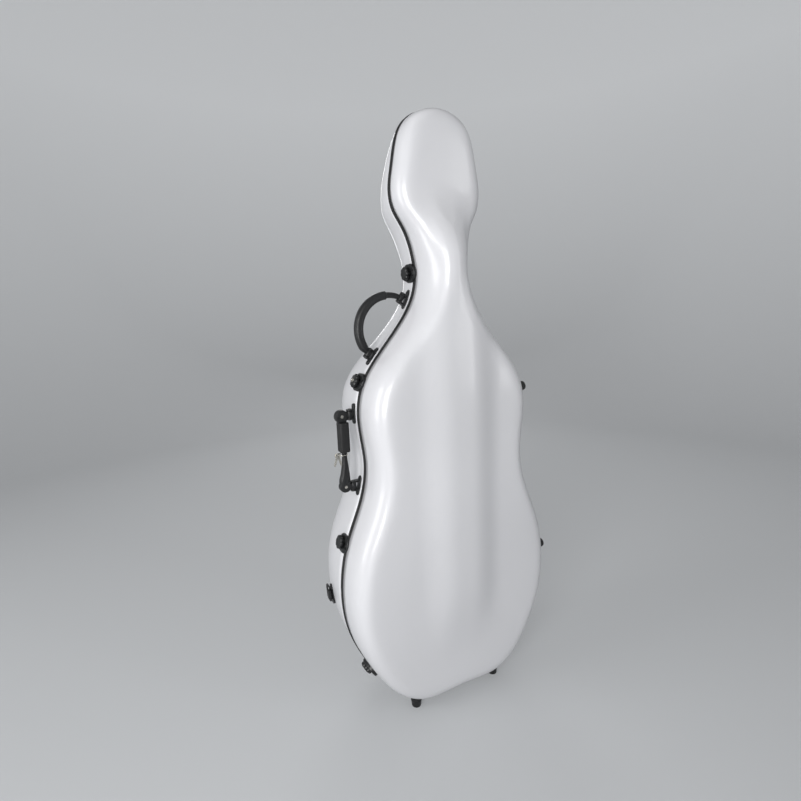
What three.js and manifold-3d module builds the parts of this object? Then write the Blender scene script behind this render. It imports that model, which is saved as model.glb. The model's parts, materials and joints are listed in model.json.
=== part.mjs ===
// A hard case for a cello: two moulded shells that meet on a seam plane, hinged along the right side
// and held shut by four turn latches on the left, where the two carrying handles are.
// Millimetres, +Z up with the case standing on its feet, the lid towards -Y and the back shell towards +Y.
import * as THREE from "three";
import { mergeVertices } from "three/addons/utils/BufferGeometryUtils.js";
import Module from "manifold-3d";

const wasm = await Module();
wasm.setup();

// Fits and cuts
const SEAT_GAP = 0.3;
const RUNNING_GAP = 0.4;
const CUT_OVERRUN = 30;
const MERGE_DISTANCE = 1e-3;

// Outline of the case in the seam plane, each station a full width and a rise above the one before
const FOOT_FLAT_WIDTH = 224;
const FOOT_CROWN = 4;
const LOWER_BOUT_WIDTH = 522;
const LOWER_BOUT_HEIGHT = 285;
const WAIST_WIDTH = 380;
const WAIST_RISE = 293;
const UPPER_BOUT_WIDTH = 400;
const UPPER_BOUT_RISE = 117;
const NECK_WIDTH = 98;
const NECK_RISE = 297;
const HEAD_WIDTH = 200;
const HEAD_RISE = 176;
const CROWN_RISE = 162;

const WAIST_HEIGHT = LOWER_BOUT_HEIGHT + WAIST_RISE;
const UPPER_BOUT_HEIGHT = WAIST_HEIGHT + UPPER_BOUT_RISE;
const NECK_HEIGHT = UPPER_BOUT_HEIGHT + NECK_RISE;
const HEAD_HEIGHT = NECK_HEIGHT + HEAD_RISE;
const SHELL_LENGTH = HEAD_HEIGHT + CROWN_RISE;

// Points between two stations, as shares of the step in half width and of the step in height
const FOOT_CORNER_SHARES = [[0.38, 0.1], [0.69, 0.33], [0.925, 0.64]];
const LOWER_FLANK_SHARES = [[0.3, 0.42], [0.81, 0.735]];
const WAIST_SHARES = [[0.65, 0.56]];
const SHOULDER_SHARES = [[0.08, 0.2], [0.36, 0.42], [0.71, 0.636], [0.94, 0.835]];
const NAPE_SHARES = [[0.1, 0.245], [0.49, 0.6], [0.86, 0.81]];
const CROWN_SHARES = [[0.07, 0.35], [0.35, 0.84]];

// Depth of the skin below the seam plane, at the stations from the foot to the top
const LID_DEPTH = 99;
const LID_NECK_DEPTH = 88;
const LID_HEAD_DEPTH = 52;
const BACK_FOOT_DEPTH = 140;
const BACK_DEPTH = 170;
const BACK_WAIST_DEPTH = 158;
const BACK_NECK_DEPTH = 98;
const EDGE_ROUND = 50;
const EDGE_SQUARENESS = 2.8;
const WALL = 3;

// Raised rib down the middle of the lid
const RIB_RISE = 17;
const RIB_BODY_REACH = 98;
const RIB_NECK_REACH = 52;
const RIB_FLAT_SHARE = 0.3;
const RIB_START_HEIGHT = 70;
const RIB_FULL_SHARE = 0.15;
const RIB_NARROW_SHARE = 0.56;
const RIB_FADE_SHARE = 0.16;
const RIB_END_SHARE = 0.84;

// How finely the skins are drawn
const HALF_OUTLINE_STEPS = 25;
const FINE_STEPS_PER_SPAN = 8;
const TURN_WEIGHT = 60;
const SPLINE_PASSES = 60;
const EDGE_ROW_SHARES = [0.004, 0.05, 0.2, 0.48, 1];
const PANEL_ROW_SHARES = [0.45, 1];
const INNER_EDGE_ROW_SHARES = [0.004, 0.06, 0.3, 1];
const EDGE_LIMIT_SHARE = 0.85;
const SPINE_LOW_SHARE = 0.66;
const SPINE_HIGH_SHARE = 0.4;

// Rims and seal along the seam
const RIM_PROUD = 1.8;
const RIM_LEG = 1.8;
const RIM_REACH = 5.6;
const BACK_RIM_WEB = 1.6;
const LID_RIM_WEB = 3.2;
const SEAM_GAP = 0.3;
const SEAL_WIDTH = 3;
const SEAL_HEIGHT = 1.8;
const LINING_THICKNESS = 9;
const FITTING_SPAN = 24;

// Hinges on the right side, their common axis a little outside both bouts
const HINGE_STANDOFF = 18;
const HINGE_LOWER_SHARE = 0.11;
const HINGE_UPPER_SHARE = 1.05;
const HINGE_LENGTH = 46;
const HINGE_KNUCKLE_RADIUS = 4.5;
const HINGE_PIN_RADIUS = 2;
const HINGE_LEAF_WIDTH = 30;
const HINGE_LEAF_THICKNESS = 2.2;
const HINGE_WEB_THICKNESS = 3;
const HINGE_KNUCKLE_SHARE = 0.32;

// Turn latches on the left side
const LATCH_NECK_SHARE = 0.02;
const LATCH_UPPER_SHARE = 0.22;
const LATCH_LOWER_SHARE = 0.38;
const LATCH_BOTTOM_SHARE = 0.23;
const LATCH_PLATE_RADIUS = 29;
const LATCH_PLATE_THICKNESS = 6;
const LATCH_BOSS_RADIUS = 19;
const LATCH_KNOB_OFFSET = 24;
const LATCH_KNOB_RADIUS = 15;
const LATCH_KNOB_THICKNESS = 5;
const LATCH_WING_LENGTH = 38;
const LATCH_WING_WIDTH = 8;
const LATCH_WING_THICKNESS = 6;
const LATCH_SPINDLE_RADIUS = 3;
const LATCH_HOOK_WIDTH = 12;
const LATCH_HOOK_THICKNESS = 3;
const LATCH_HOOK_REACH = 15;
const LATCH_HOOK_TAIL = 10;
const LATCH_STROKE = 5;
const LATCH_LOCK_RADIUS = 5;
const LATCH_LOCK_RISE = 1.5;
const LATCH_LOCKED = "upper";

// Handles on the left side
const BRACKET_LENGTH = 46;
const BRACKET_WIDTH = 15;
const BRACKET_THICKNESS = 3.5;
const BRACKET_EAR_THICKNESS = 4;
const BRACKET_EAR_RADIUS = 7;
const BRACKET_PIN_RADIUS = 2.5;
const HANDLE_EYE_LENGTH = 15;
const HANDLE_EYE_RADIUS = 7;
const HANDLE_SEAM_OFFSET = 24;
const HANDLE_STANDOFF = 13;
const SHOULDER_HANDLE_LOW_SHARE = 0.404;
const SHOULDER_HANDLE_HIGH_SHARE = 0.818;
const SHOULDER_HANDLE_RISE = 60;
const SHOULDER_HANDLE_RADIUS = 9.5;
const SHOULDER_HANDLE_ROOT_RADIUS = 5;
const SIDE_HANDLE_LENGTH = 168;
const SIDE_HANDLE_HIGH_SHARE = 0.97;
const SIDE_HANDLE_REACH = 17;
const SIDE_HANDLE_BEND = 12;
const SIDE_HANDLE_CORE_RADIUS = 6;
const SIDE_GRIP_LENGTH = 66;
const SIDE_GRIP_WIDTH = 27;
const SIDE_GRIP_THICKNESS = 23;
const SIDE_GRIP_ROUND = 4;
const SIDE_GRIP_TOP_DROP = 16;
const SIDE_SHOE_RADIUS = 11;
const SIDE_SHOE_LENGTH = 30;
const KEY_RING_RADIUS = 11.5;
const KEY_RING_WIRE_RADIUS = 0.9;
const KEY_RING_DROP = 6;
const KEY_LENGTH = 26;
const KEY_BOW_RADIUS = 6;
const KEY_HOLE_RADIUS = 2.4;
const KEY_THICKNESS = 1.8;
const KEY_BLADE_WIDTH = 5;
const KEY_SPREAD_ANGLE = 0.3;

// Strap rings on the back shell
const STRAP_LOW_SHARE = 0.83;
const STRAP_LOW_DEPTH = 92;
const STRAP_TOP_SHARE = 0.94;
const STRAP_PLATE_LENGTH = 52;
const STRAP_PLATE_WIDTH = 22;
const STRAP_PLATE_THICKNESS = 3;
const STRAP_BARREL_RADIUS = 5.5;
const STRAP_BARREL_LENGTH = 24;
const STRAP_RING_WIDTH = 42;
const STRAP_RING_DROP = 24;
const STRAP_RING_WIRE = 4;

// Rubber feet
const FOOT_RADIUS = 13;
const FOOT_TIP_RADIUS = 11;
const FOOT_HEIGHT = 18;
const FOOT_SPREAD = 112;
const LID_FOOT_DEPTH = 58;
const BACK_FOOT_DEPTH_PLACE = 88;
const SIDE_FOOT_HEIGHT = 13;
const SIDE_FOOT_DROP = 28;
const SIDE_FOOT_RISE = 8;
const LID_SIDE_FOOT_DEPTH = 58;
const BACK_SIDE_FOOT_DEPTH = 88;

// Padding and holders inside
const CRADLE_SHARE = 0.825;
const CRADLE_LENGTH = 46;
const CRADLE_NOTCH_RADIUS = 24;
const CRADLE_FLOOR_DEPTH = 60;
const CRADLE_TOP_DEPTH = 12;
const NECK_STRAP_WIDTH = 34;
const NECK_STRAP_THICKNESS = 3;
const NECK_STRAP_RISE = 12;
const END_BLOCK_HEIGHT = 62;
const END_BLOCK_HALF_WIDTH = 92;
const END_BLOCK_TOP_DEPTH = 20;
const END_BLOCK_NOTCH_HALF = 24;
const END_BLOCK_NOTCH_DEPTH = 34;
const CUSHION_LENGTH = 210;
const CUSHION_SHARE = 1.035;
const CUSHION_TOP_DEPTH = 34;
const CUSHION_INNER_HALF = 196;
const POCKET_WIDTH = 150;
const POCKET_LENGTH = 180;
const POCKET_SHARE = 0.19;
const POCKET_THICKNESS = 24;
const POCKET_ROUND = 14;
const BOW_TIP_SHARE = 0.48;
const BOW_TIP_LENGTH = 70;
const BOW_TIP_HALF_WIDTH = 74;
const BOW_TIP_THICKNESS = 16;
const BOW_CLIP_SHARE = 0.63;
const BOW_CLIP_SPREAD = 128;
const BOW_CLIP_LENGTH = 52;
const BOW_CLIP_WIDTH = 14;
const BOW_CLIP_THICKNESS = 5;
const BOW_CLIP_POST_RADIUS = 6;
const BOW_CLIP_POST_HEIGHT = 16;

// Heights that follow the outline
const shareUp = (low, high, share) => low + (high - low) * share;
const SHOULDER_HANDLE_LOW = shareUp(UPPER_BOUT_HEIGHT, NECK_HEIGHT, SHOULDER_HANDLE_LOW_SHARE);
const SHOULDER_HANDLE_HIGH = shareUp(UPPER_BOUT_HEIGHT, NECK_HEIGHT, SHOULDER_HANDLE_HIGH_SHARE);
const LATCH_HEIGHTS = {
  neck: shareUp(NECK_HEIGHT, HEAD_HEIGHT, LATCH_NECK_SHARE),
  upper: shareUp(UPPER_BOUT_HEIGHT, NECK_HEIGHT, LATCH_UPPER_SHARE),
  lower: shareUp(LOWER_BOUT_HEIGHT, WAIST_HEIGHT, LATCH_LOWER_SHARE),
  bottom: LOWER_BOUT_HEIGHT * LATCH_BOTTOM_SHARE,
};
const RIB_NARROW_HEIGHT = shareUp(UPPER_BOUT_HEIGHT, NECK_HEIGHT, RIB_NARROW_SHARE);
const RIB_FADE_HEIGHT = shareUp(NECK_HEIGHT, HEAD_HEIGHT, RIB_FADE_SHARE);
const RIB_END_HEIGHT = shareUp(NECK_HEIGHT, HEAD_HEIGHT, RIB_END_SHARE);
const RIB_FULL_HEIGHT = shareUp(LOWER_BOUT_HEIGHT, WAIST_HEIGHT, RIB_FULL_SHARE);
const SPINE_LOW = LOWER_BOUT_HEIGHT * SPINE_LOW_SHARE;
const SPINE_HIGH = shareUp(HEAD_HEIGHT, SHELL_LENGTH, SPINE_HIGH_SHARE);
const HINGE_LOWER_HEIGHT = shareUp(LOWER_BOUT_HEIGHT, UPPER_BOUT_HEIGHT, HINGE_LOWER_SHARE);
const HINGE_UPPER_HEIGHT = shareUp(LOWER_BOUT_HEIGHT, UPPER_BOUT_HEIGHT, HINGE_UPPER_SHARE);
const SIDE_HANDLE_HIGH = shareUp(WAIST_HEIGHT, UPPER_BOUT_HEIGHT, SIDE_HANDLE_HIGH_SHARE);
const SIDE_HANDLE_LOW = SIDE_HANDLE_HIGH - SIDE_HANDLE_LENGTH;
const STRAP_LOW_HEIGHT = LOWER_BOUT_HEIGHT * STRAP_LOW_SHARE;
const STRAP_TOP_HEIGHT = shareUp(UPPER_BOUT_HEIGHT, NECK_HEIGHT, STRAP_TOP_SHARE);
const SIDE_FOOT_LOWER = HINGE_LOWER_HEIGHT - SIDE_FOOT_DROP;
const SIDE_FOOT_UPPER = HINGE_UPPER_HEIGHT + SIDE_FOOT_RISE;
const CRADLE_HEIGHT = shareUp(UPPER_BOUT_HEIGHT, NECK_HEIGHT, CRADLE_SHARE);
const CUSHION_HEIGHT = LOWER_BOUT_HEIGHT * CUSHION_SHARE;
const CUSHION_LOW = CUSHION_HEIGHT - CUSHION_LENGTH / 2;
const CUSHION_HIGH = CUSHION_HEIGHT + CUSHION_LENGTH / 2;
const POCKET_HEIGHT = shareUp(LOWER_BOUT_HEIGHT, WAIST_HEIGHT, POCKET_SHARE);
const POCKET_LOW = POCKET_HEIGHT - POCKET_LENGTH / 2;
const POCKET_HIGH = POCKET_HEIGHT + POCKET_LENGTH / 2;
const BOW_CLIP_HEIGHT = LOWER_BOUT_HEIGHT * BOW_CLIP_SHARE;
const BOW_TIP_HEIGHT = shareUp(UPPER_BOUT_HEIGHT, NECK_HEIGHT, BOW_TIP_SHARE);

const ROUND_STEPS = 6;
const X_AXIS = new THREE.Vector3(1, 0, 0);
const Y_AXIS = new THREE.Vector3(0, 1, 0);
const Z_AXIS = new THREE.Vector3(0, 0, 1);

const finish = (color, roughness, metalness) =>
  new THREE.MeshStandardMaterial({ color, roughness, metalness });

const glossWhite = finish(0xe4e4e8, 0.18, 0);
const rubber = finish(0x161617, 0.75, 0);
const blackMoulding = finish(0x1b1b1d, 0.45, 0);
const blackSteel = finish(0x222224, 0.4, 0.8);
const brightSteel = finish(0xb9b9b6, 0.3, 1);
const plush = finish(0x2b2d33, 0.95, 0);
const webbing = finish(0x1d1e20, 0.9, 0);

// Turn a closed three.js geometry into a solid.
function solidOf(geometry) {
  const bare = geometry.clone();
  bare.deleteAttribute("normal");
  bare.deleteAttribute("uv");
  const merged = mergeVertices(bare, MERGE_DISTANCE);
  const corners = merged.index.array;
  const kept = [];
  for (let i = 0; i < corners.length; i += 3) {
    const [a, b, c] = [corners[i], corners[i + 1], corners[i + 2]];
    if (a !== b && b !== c && c !== a) kept.push(a, b, c);
  }
  return new wasm.Manifold(
    new wasm.Mesh({
      numProp: 3,
      vertProperties: merged.attributes.position.array,
      triVerts: new Uint32Array(kept),
    }),
  );
}

function geometryOf(solid) {
  const mesh = solid.getMesh();
  const geometry = new THREE.BufferGeometry();
  geometry.setAttribute("position", new THREE.BufferAttribute(mesh.vertProperties, 3));
  geometry.setIndex(new THREE.BufferAttribute(mesh.triVerts, 1));
  geometry.computeVertexNormals();
  return geometry;
}

const joined = (...solids) => solids.reduce((whole, piece) => whole.add(piece));
const placed = (geometry, frame) => solidOf(geometry.clone().applyMatrix4(frame));

function partMesh(name, solid, material) {
  const mesh = new THREE.Mesh(geometryOf(solid), material);
  mesh.name = name;
  return mesh;
}

// Shapes drawn in a frame whose X axis points out of the wall, Y across it and Z along it.
function slab(shape, from, to) {
  const geometry = new THREE.ExtrudeGeometry(shape, {
    depth: to - from,
    bevelEnabled: false,
    curveSegments: ROUND_STEPS,
  });
  geometry.applyMatrix4(new THREE.Matrix4().makeBasis(Y_AXIS, Z_AXIS, X_AXIS));
  return geometry.translate(from, 0, 0);
}

function block(fromX, toX, fromY, toY, fromZ, toZ) {
  const geometry = new THREE.BoxGeometry(toX - fromX, toY - fromY, toZ - fromZ);
  return geometry.translate((fromX + toX) / 2, (fromY + toY) / 2, (fromZ + toZ) / 2);
}

function discShape(radius, y, z) {
  const shape = new THREE.Shape();
  shape.absarc(y, z, radius, 0, Math.PI * 2, false);
  return shape;
}

function halfDiscShape(radius, edge, side) {
  const start = Math.asin(edge / radius);
  const shape = new THREE.Shape();
  const middle = side > 0 ? 0 : Math.PI;
  const sweep = Math.PI / 2 - start;
  shape.absarc(0, 0, radius, middle - sweep, middle + sweep, false);
  return shape;
}

// A straight bar with round ends, its length along Z.
function slotShape(length, width, y = 0, z = 0) {
  const half = length / 2 - width / 2;
  const shape = new THREE.Shape();
  shape.absarc(y, z + half, width / 2, 0, Math.PI, false);
  shape.absarc(y, z - half, width / 2, Math.PI, Math.PI * 2, false);
  return shape;
}

function rod(radius, fromZ, toZ, steps = 12) {
  const geometry = new THREE.CylinderGeometry(radius, radius, toZ - fromZ, steps);
  return geometry.rotateX(Math.PI / 2).translate(0, 0, (fromZ + toZ) / 2);
}

// The closed C2 curve through a ring of points: tangents that make its curvature continuous.
function splineTangents(points) {
  const count = points.length;
  const step = (i) => points[(i + 1) % count].distanceTo(points[(i + count) % count]);
  const slope = (i) => {
    const from = points[(i + count) % count];
    return points[(i + 1 + count) % count].clone().sub(from).divideScalar(step((i + count) % count));
  };
  let tangents = points.map((_, i) => slope(i));
  for (let pass = 0; pass < SPLINE_PASSES; pass++) {
    tangents = points.map((_, i) => {
      const before = step((i + count - 1) % count);
      const after = step(i);
      const target = slope(i - 1).multiplyScalar(3 * after).addScaledVector(slope(i), 3 * before);
      target.addScaledVector(tangents[(i + count - 1) % count], -after);
      target.addScaledVector(tangents[(i + 1) % count], -before);
      return target.divideScalar(2 * (before + after));
    });
  }
  return tangents;
}

function hermite(from, to, tangentFrom, tangentTo, share) {
  const length = from.distanceTo(to);
  const rest = 1 - share;
  return from.clone().multiplyScalar((1 + 2 * share) * rest * rest)
    .addScaledVector(to, (3 - 2 * share) * share * share)
    .addScaledVector(tangentFrom, length * share * rest * rest)
    .addScaledVector(tangentTo, -length * share * share * rest);
}

function between(low, high, shares) {
  return shares.map(([across, up]) => new THREE.Vector2(
    low.x + (high.x - low.x) * across,
    low.y + (high.y - low.y) * up,
  ));
}

// Right half of the outline from the foot to the top, as (half width, height) points.
function halfOutlineStations() {
  const foot = new THREE.Vector2(FOOT_FLAT_WIDTH / 2, FOOT_CROWN);
  const lower = new THREE.Vector2(LOWER_BOUT_WIDTH / 2, LOWER_BOUT_HEIGHT);
  const waist = new THREE.Vector2(WAIST_WIDTH / 2, WAIST_HEIGHT);
  const upper = new THREE.Vector2(UPPER_BOUT_WIDTH / 2, UPPER_BOUT_HEIGHT);
  const neck = new THREE.Vector2(NECK_WIDTH / 2, NECK_HEIGHT);
  const head = new THREE.Vector2(HEAD_WIDTH / 2, HEAD_HEIGHT);
  const top = new THREE.Vector2(0, SHELL_LENGTH);
  return [
    new THREE.Vector2(0, 0), foot, ...between(foot, lower, FOOT_CORNER_SHARES),
    lower, ...between(lower, waist, LOWER_FLANK_SHARES),
    waist, ...between(waist, upper, WAIST_SHARES),
    upper, ...between(upper, neck, SHOULDER_SHARES),
    neck, ...between(neck, head, NAPE_SHARES),
    head, ...between(head, top, CROWN_SHARES), top,
  ];
}

// The same half as a fine run of points on the curve.
function fineHalfOutline() {
  const half = halfOutlineStations();
  const mirrored = half.slice(1, -1).reverse().map((p) => new THREE.Vector2(-p.x, p.y));
  const ring = [...half, ...mirrored];
  const tangents = splineTangents(ring);
  const fine = [half[0]];
  for (let i = 0; i < half.length - 1; i++) {
    for (let k = 1; k <= FINE_STEPS_PER_SPAN; k++) {
      const share = k / FINE_STEPS_PER_SPAN;
      fine.push(hermite(ring[i], ring[i + 1], tangents[i], tangents[i + 1], share));
    }
  }
  return fine;
}

// A coarser run with more points where the curve turns.
function steppedHalfOutline(fine, steps) {
  const run = [0];
  for (let i = 1; i < fine.length; i++) {
    const leg = fine[i].clone().sub(fine[i - 1]);
    const last = i > 1 ? fine[i - 1].clone().sub(fine[i - 2]) : leg;
    const turn = Math.abs(Math.atan2(last.cross(leg), last.dot(leg)));
    run.push(run[i - 1] + leg.length() + TURN_WEIGHT * turn);
  }
  const points = [];
  let at = 0;
  for (let k = 0; k <= steps; k++) {
    const target = (run[run.length - 1] * k) / steps;
    while (at < run.length - 2 && run[at + 1] < target) at++;
    const share = (target - run[at]) / (run[at + 1] - run[at]);
    points.push(fine[at].clone().lerp(fine[at + 1], Math.min(share, 1)));
  }
  return points;
}

const fineHalf = fineHalfOutline();
const fineRing = [...fineHalf, ...fineHalf.slice(1, -1).reverse().map((p) => new THREE.Vector2(-p.x, p.y))];
const skinHalf = steppedHalfOutline(fineHalf, HALF_OUTLINE_STEPS);
const skinRing = [...skinHalf, ...skinHalf.slice(1, -1).reverse().map((p) => new THREE.Vector2(-p.x, p.y))];

// Inward normal at each point of the coarse ring, which runs anticlockwise seen from the lid.
const skinNormals = skinRing.map((_, i) => {
  const count = skinRing.length;
  const along = skinRing[(i + 1) % count].clone().sub(skinRing[(i + count - 1) % count]).normalize();
  return new THREE.Vector2(-along.y, along.x);
});

// Distance to the outline, exact beside a straight wall and eased where two walls are equally near.
function easedDistance(x, z) {
  let sum = 0;
  for (let i = 0; i < fineRing.length; i++) {
    const from = fineRing[i];
    const to = fineRing[(i + 1) % fineRing.length];
    const length = from.distanceTo(to);
    const alongX = (to.x - from.x) / length;
    const alongZ = (to.y - from.y) / length;
    const along = (x - from.x) * alongX + (z - from.y) * alongZ;
    const away = Math.max(((x - from.x) * alongZ - (z - from.y) * alongX) ** 2, Number.EPSILON);
    const ahead = (length - along) / Math.sqrt((length - along) ** 2 + away);
    const behind = along / Math.sqrt(along ** 2 + away);
    sum += (ahead + behind) / (2 * away);
  }
  return 1 / Math.sqrt(sum);
}

const eased = (share) => share * share * share * (share * (share * 6 - 15) + 10);
const clamped = (value) => Math.min(Math.max(value, 0), 1);

// A size that passes smoothly through its value at each height.
function profile(stations, height) {
  if (height <= stations[0][0]) return stations[0][1];
  for (let i = 1; i < stations.length; i++) {
    const [low, from] = stations[i - 1];
    const [high, to] = stations[i];
    if (height <= high) return from + (to - from) * eased((height - low) / (high - low));
  }
  return stations[stations.length - 1][1];
}

const LID = {
  side: -1,
  depths: [
    [0, LID_DEPTH], [UPPER_BOUT_HEIGHT, LID_DEPTH],
    [NECK_HEIGHT, LID_NECK_DEPTH], [HEAD_HEIGHT, LID_HEAD_DEPTH],
  ],
};
const BACK = {
  side: 1,
  depths: [
    [0, BACK_FOOT_DEPTH], [LOWER_BOUT_HEIGHT, BACK_DEPTH], [WAIST_HEIGHT, BACK_WAIST_DEPTH],
    [UPPER_BOUT_HEIGHT, BACK_DEPTH], [NECK_HEIGHT, BACK_NECK_DEPTH],
  ],
};

// Rise of the lid's middle rib: flat across its top, then an eased fall to the panel.
function ribRise(x, z) {
  const reach = profile([[RIB_NARROW_HEIGHT, RIB_BODY_REACH], [RIB_FADE_HEIGHT, RIB_NECK_REACH]], z);
  const across = clamped((Math.abs(x) / reach - RIB_FLAT_SHARE) / (1 - RIB_FLAT_SHARE));
  const along = profile([
    [RIB_START_HEIGHT, 0], [RIB_FULL_HEIGHT, 1], [RIB_FADE_HEIGHT, 1], [RIB_END_HEIGHT, 0],
  ], z);
  return RIB_RISE * along * (1 - eased(across));
}

// Depth of a skin that lies the given inset inside the outer surface.
function skinDepth(half, inset, x, z) {
  const across = clamped((easedDistance(x, z) - inset) / (EDGE_ROUND - inset));
  const round = (1 - (1 - across) ** EDGE_SQUARENESS) ** (1 / EDGE_SQUARENESS);
  const rise = half === LID ? ribRise(x, z) : 0;
  return (profile(half.depths, z) - inset + rise) * round;
}

// A closed solid under the skin, from a flat face at the given height off the seam plane.
function skinForm(half, inset, start, edgeShares, panelShares) {
  const rows = [];
  const spine = (p) => new THREE.Vector2(0, Math.min(Math.max(p.y, SPINE_LOW), SPINE_HIGH));
  const edge = skinRing.map((p, i) => p.clone().addScaledVector(skinNormals[i], inset));
  const spines = edge.map(spine);
  const lift = (p, depth) => new THREE.Vector3(p.x, half.side * depth, p.y);
  rows.push(edge.map((p) => lift(p, start)));
  const addRow = (reachOf) => {
    rows.push(edge.map((p, i) => {
      const length = p.distanceTo(spines[i]);
      const at = p.clone().lerp(spines[i], reachOf(length) / length);
      return lift(at, skinDepth(half, inset, at.x, at.y));
    }));
  };
  const edgeReach = (length) => Math.min(EDGE_ROUND, length * EDGE_LIMIT_SHARE);
  for (const share of edgeShares) addRow((length) => edgeReach(length) * share);
  for (const share of panelShares) {
    addRow((length) => edgeReach(length) + (length - edgeReach(length)) * share);
  }
  rows.push(spines.map((p) => lift(p, start)));
  return closedRows(rows, half.side > 0);
}

// Join rows of points into a closed skin, the last row back to the first.
function closedRows(rows, flip) {
  const count = rows[0].length;
  const positions = rows.flat().flatMap((p) => [p.x, p.y, p.z]);
  const index = [];
  rows.forEach((_, k) => {
    const next = (k + 1) % rows.length;
    for (let i = 0; i < count; i++) {
      const j = (i + 1) % count;
      const [a, b, c, d] = [k * count + i, k * count + j, next * count + j, next * count + i];
      if (flip) index.push(a, c, b, a, d, c);
      else index.push(a, b, c, a, c, d);
    }
  });
  const geometry = new THREE.BufferGeometry();
  geometry.setAttribute("position", new THREE.Float32BufferAttribute(positions, 3));
  geometry.setIndex(index);
  return solidOf(geometry);
}

const shellForm = (half, inset, start) =>
  skinForm(half, inset, start, EDGE_ROW_SHARES, PANEL_ROW_SHARES);
const innerForm = (half, inset, start) =>
  skinForm(half, inset, start, INNER_EDGE_ROW_SHARES, PANEL_ROW_SHARES);

// A band that follows the outline, between two insets and two heights off the seam plane.
function outlineBand(outerInset, innerInset, from, to) {
  const ringAt = (inset) => skinRing.map((p, i) => p.clone().addScaledVector(skinNormals[i], inset));
  const lift = (ring, y) => ring.map((p) => new THREE.Vector3(p.x, y, p.y));
  const outer = ringAt(outerInset);
  const inner = ringAt(innerInset);
  return closedRows([lift(outer, from), lift(outer, to), lift(inner, to), lift(inner, from)], true);
}

// The two shells, with the rims that edge them and the linings inside
const LINING_INSET = WALL + SEAT_GAP;
const RIM_INSET = WALL + SEAT_GAP + RIM_LEG;

function shell(half, web) {
  const start = web + SEAT_GAP;
  return shellForm(half, 0, start).subtract(innerForm(half, WALL, 0));
}

function lining(half) {
  const start = RIM_REACH + SEAT_GAP;
  const outer = innerForm(half, LINING_INSET, start);
  return outer.subtract(innerForm(half, LINING_INSET + LINING_THICKNESS, 0));
}

function rim(half, seamGap, web) {
  const [near, far] = [seamGap * half.side, RIM_REACH * half.side];
  const [webEnd, past] = [web * half.side, (RIM_REACH + CUT_OVERRUN) * half.side];
  const body = outlineBand(-RIM_PROUD, RIM_INSET, Math.min(near, far), Math.max(near, far));
  const slot = outlineBand(-SEAT_GAP, WALL + SEAT_GAP, Math.min(webEnd, past), Math.max(webEnd, past));
  return body.subtract(slot);
}

function lidRim() {
  const seat = SEAL_HEIGHT + SEAT_GAP;
  const middle = (RIM_INSET - RIM_PROUD) / 2;
  const halfWidth = SEAL_WIDTH / 2 + SEAT_GAP;
  const groove = outlineBand(middle - halfWidth, middle + halfWidth, -seat, CUT_OVERRUN);
  return rim(LID, 0, LID_RIM_WEB).subtract(groove);
}

function seal() {
  const middle = (RIM_INSET - RIM_PROUD) / 2;
  return outlineBand(middle - SEAL_WIDTH / 2, middle + SEAL_WIDTH / 2, -SEAL_HEIGHT, 0);
}

// What a fitting is cut back to, so that it seats on the wall and steps over the rims
const backGrown = shellForm(BACK, -SEAT_GAP, 0);
const lidGrown = shellForm(LID, -SEAT_GAP, 0);
const rimGrown = outlineBand(
  -RIM_PROUD - SEAT_GAP, RIM_INSET + CUT_OVERRUN, -RIM_REACH - SEAT_GAP, RIM_REACH + SEAT_GAP,
);
const seatedOnBack = (solid) => solid.subtract(backGrown).subtract(rimGrown);
const seatedOnLid = (solid) => solid.subtract(lidGrown).subtract(rimGrown);

// Cavities that soft pieces are cut to
const backCavity = innerForm(BACK, LINING_INSET + LINING_THICKNESS + SEAT_GAP, -CUT_OVERRUN);
const lidCavity = innerForm(LID, LINING_INSET + LINING_THICKNESS + SEAT_GAP, -CUT_OVERRUN);

function outlineAt(height) {
  let i = 1;
  while (i < skinHalf.length - 2 && skinHalf[i].y < height) i++;
  const share = (height - skinHalf[i - 1].y) / (skinHalf[i].y - skinHalf[i - 1].y);
  return skinHalf[i - 1].clone().lerp(skinHalf[i], share);
}

// Frame that rests on the side wall over a fitting's span: X outward, Z up along the wall, Y across it
// (to the lid on the left side).
function wallFrame(side, height, depth, span = FITTING_SPAN) {
  const rise = outlineAt(height + span / 2).sub(outlineAt(height - span / 2)).normalize();
  const outward = new THREE.Vector2(rise.y, -rise.x);
  const at = outlineAt(height);
  const near = skinHalf.filter((p) => Math.abs(p.y - height) < span / 2);
  const proud = Math.max(0, ...near.map((p) => p.clone().sub(at).dot(outward)));
  at.addScaledVector(outward, proud);
  const up = new THREE.Vector3(side * rise.x, 0, rise.y);
  const out = new THREE.Vector3(side * outward.x, 0, outward.y);
  return framed(out, up, new THREE.Vector3(side * at.x, depth, at.y));
}

function framed(out, up, origin) {
  const frame = new THREE.Matrix4().makeBasis(out, up.clone().cross(out), up);
  return frame.setPosition(origin);
}

const LATCH_SIDE = -1;
const HINGE_SIDE = 1;

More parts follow.
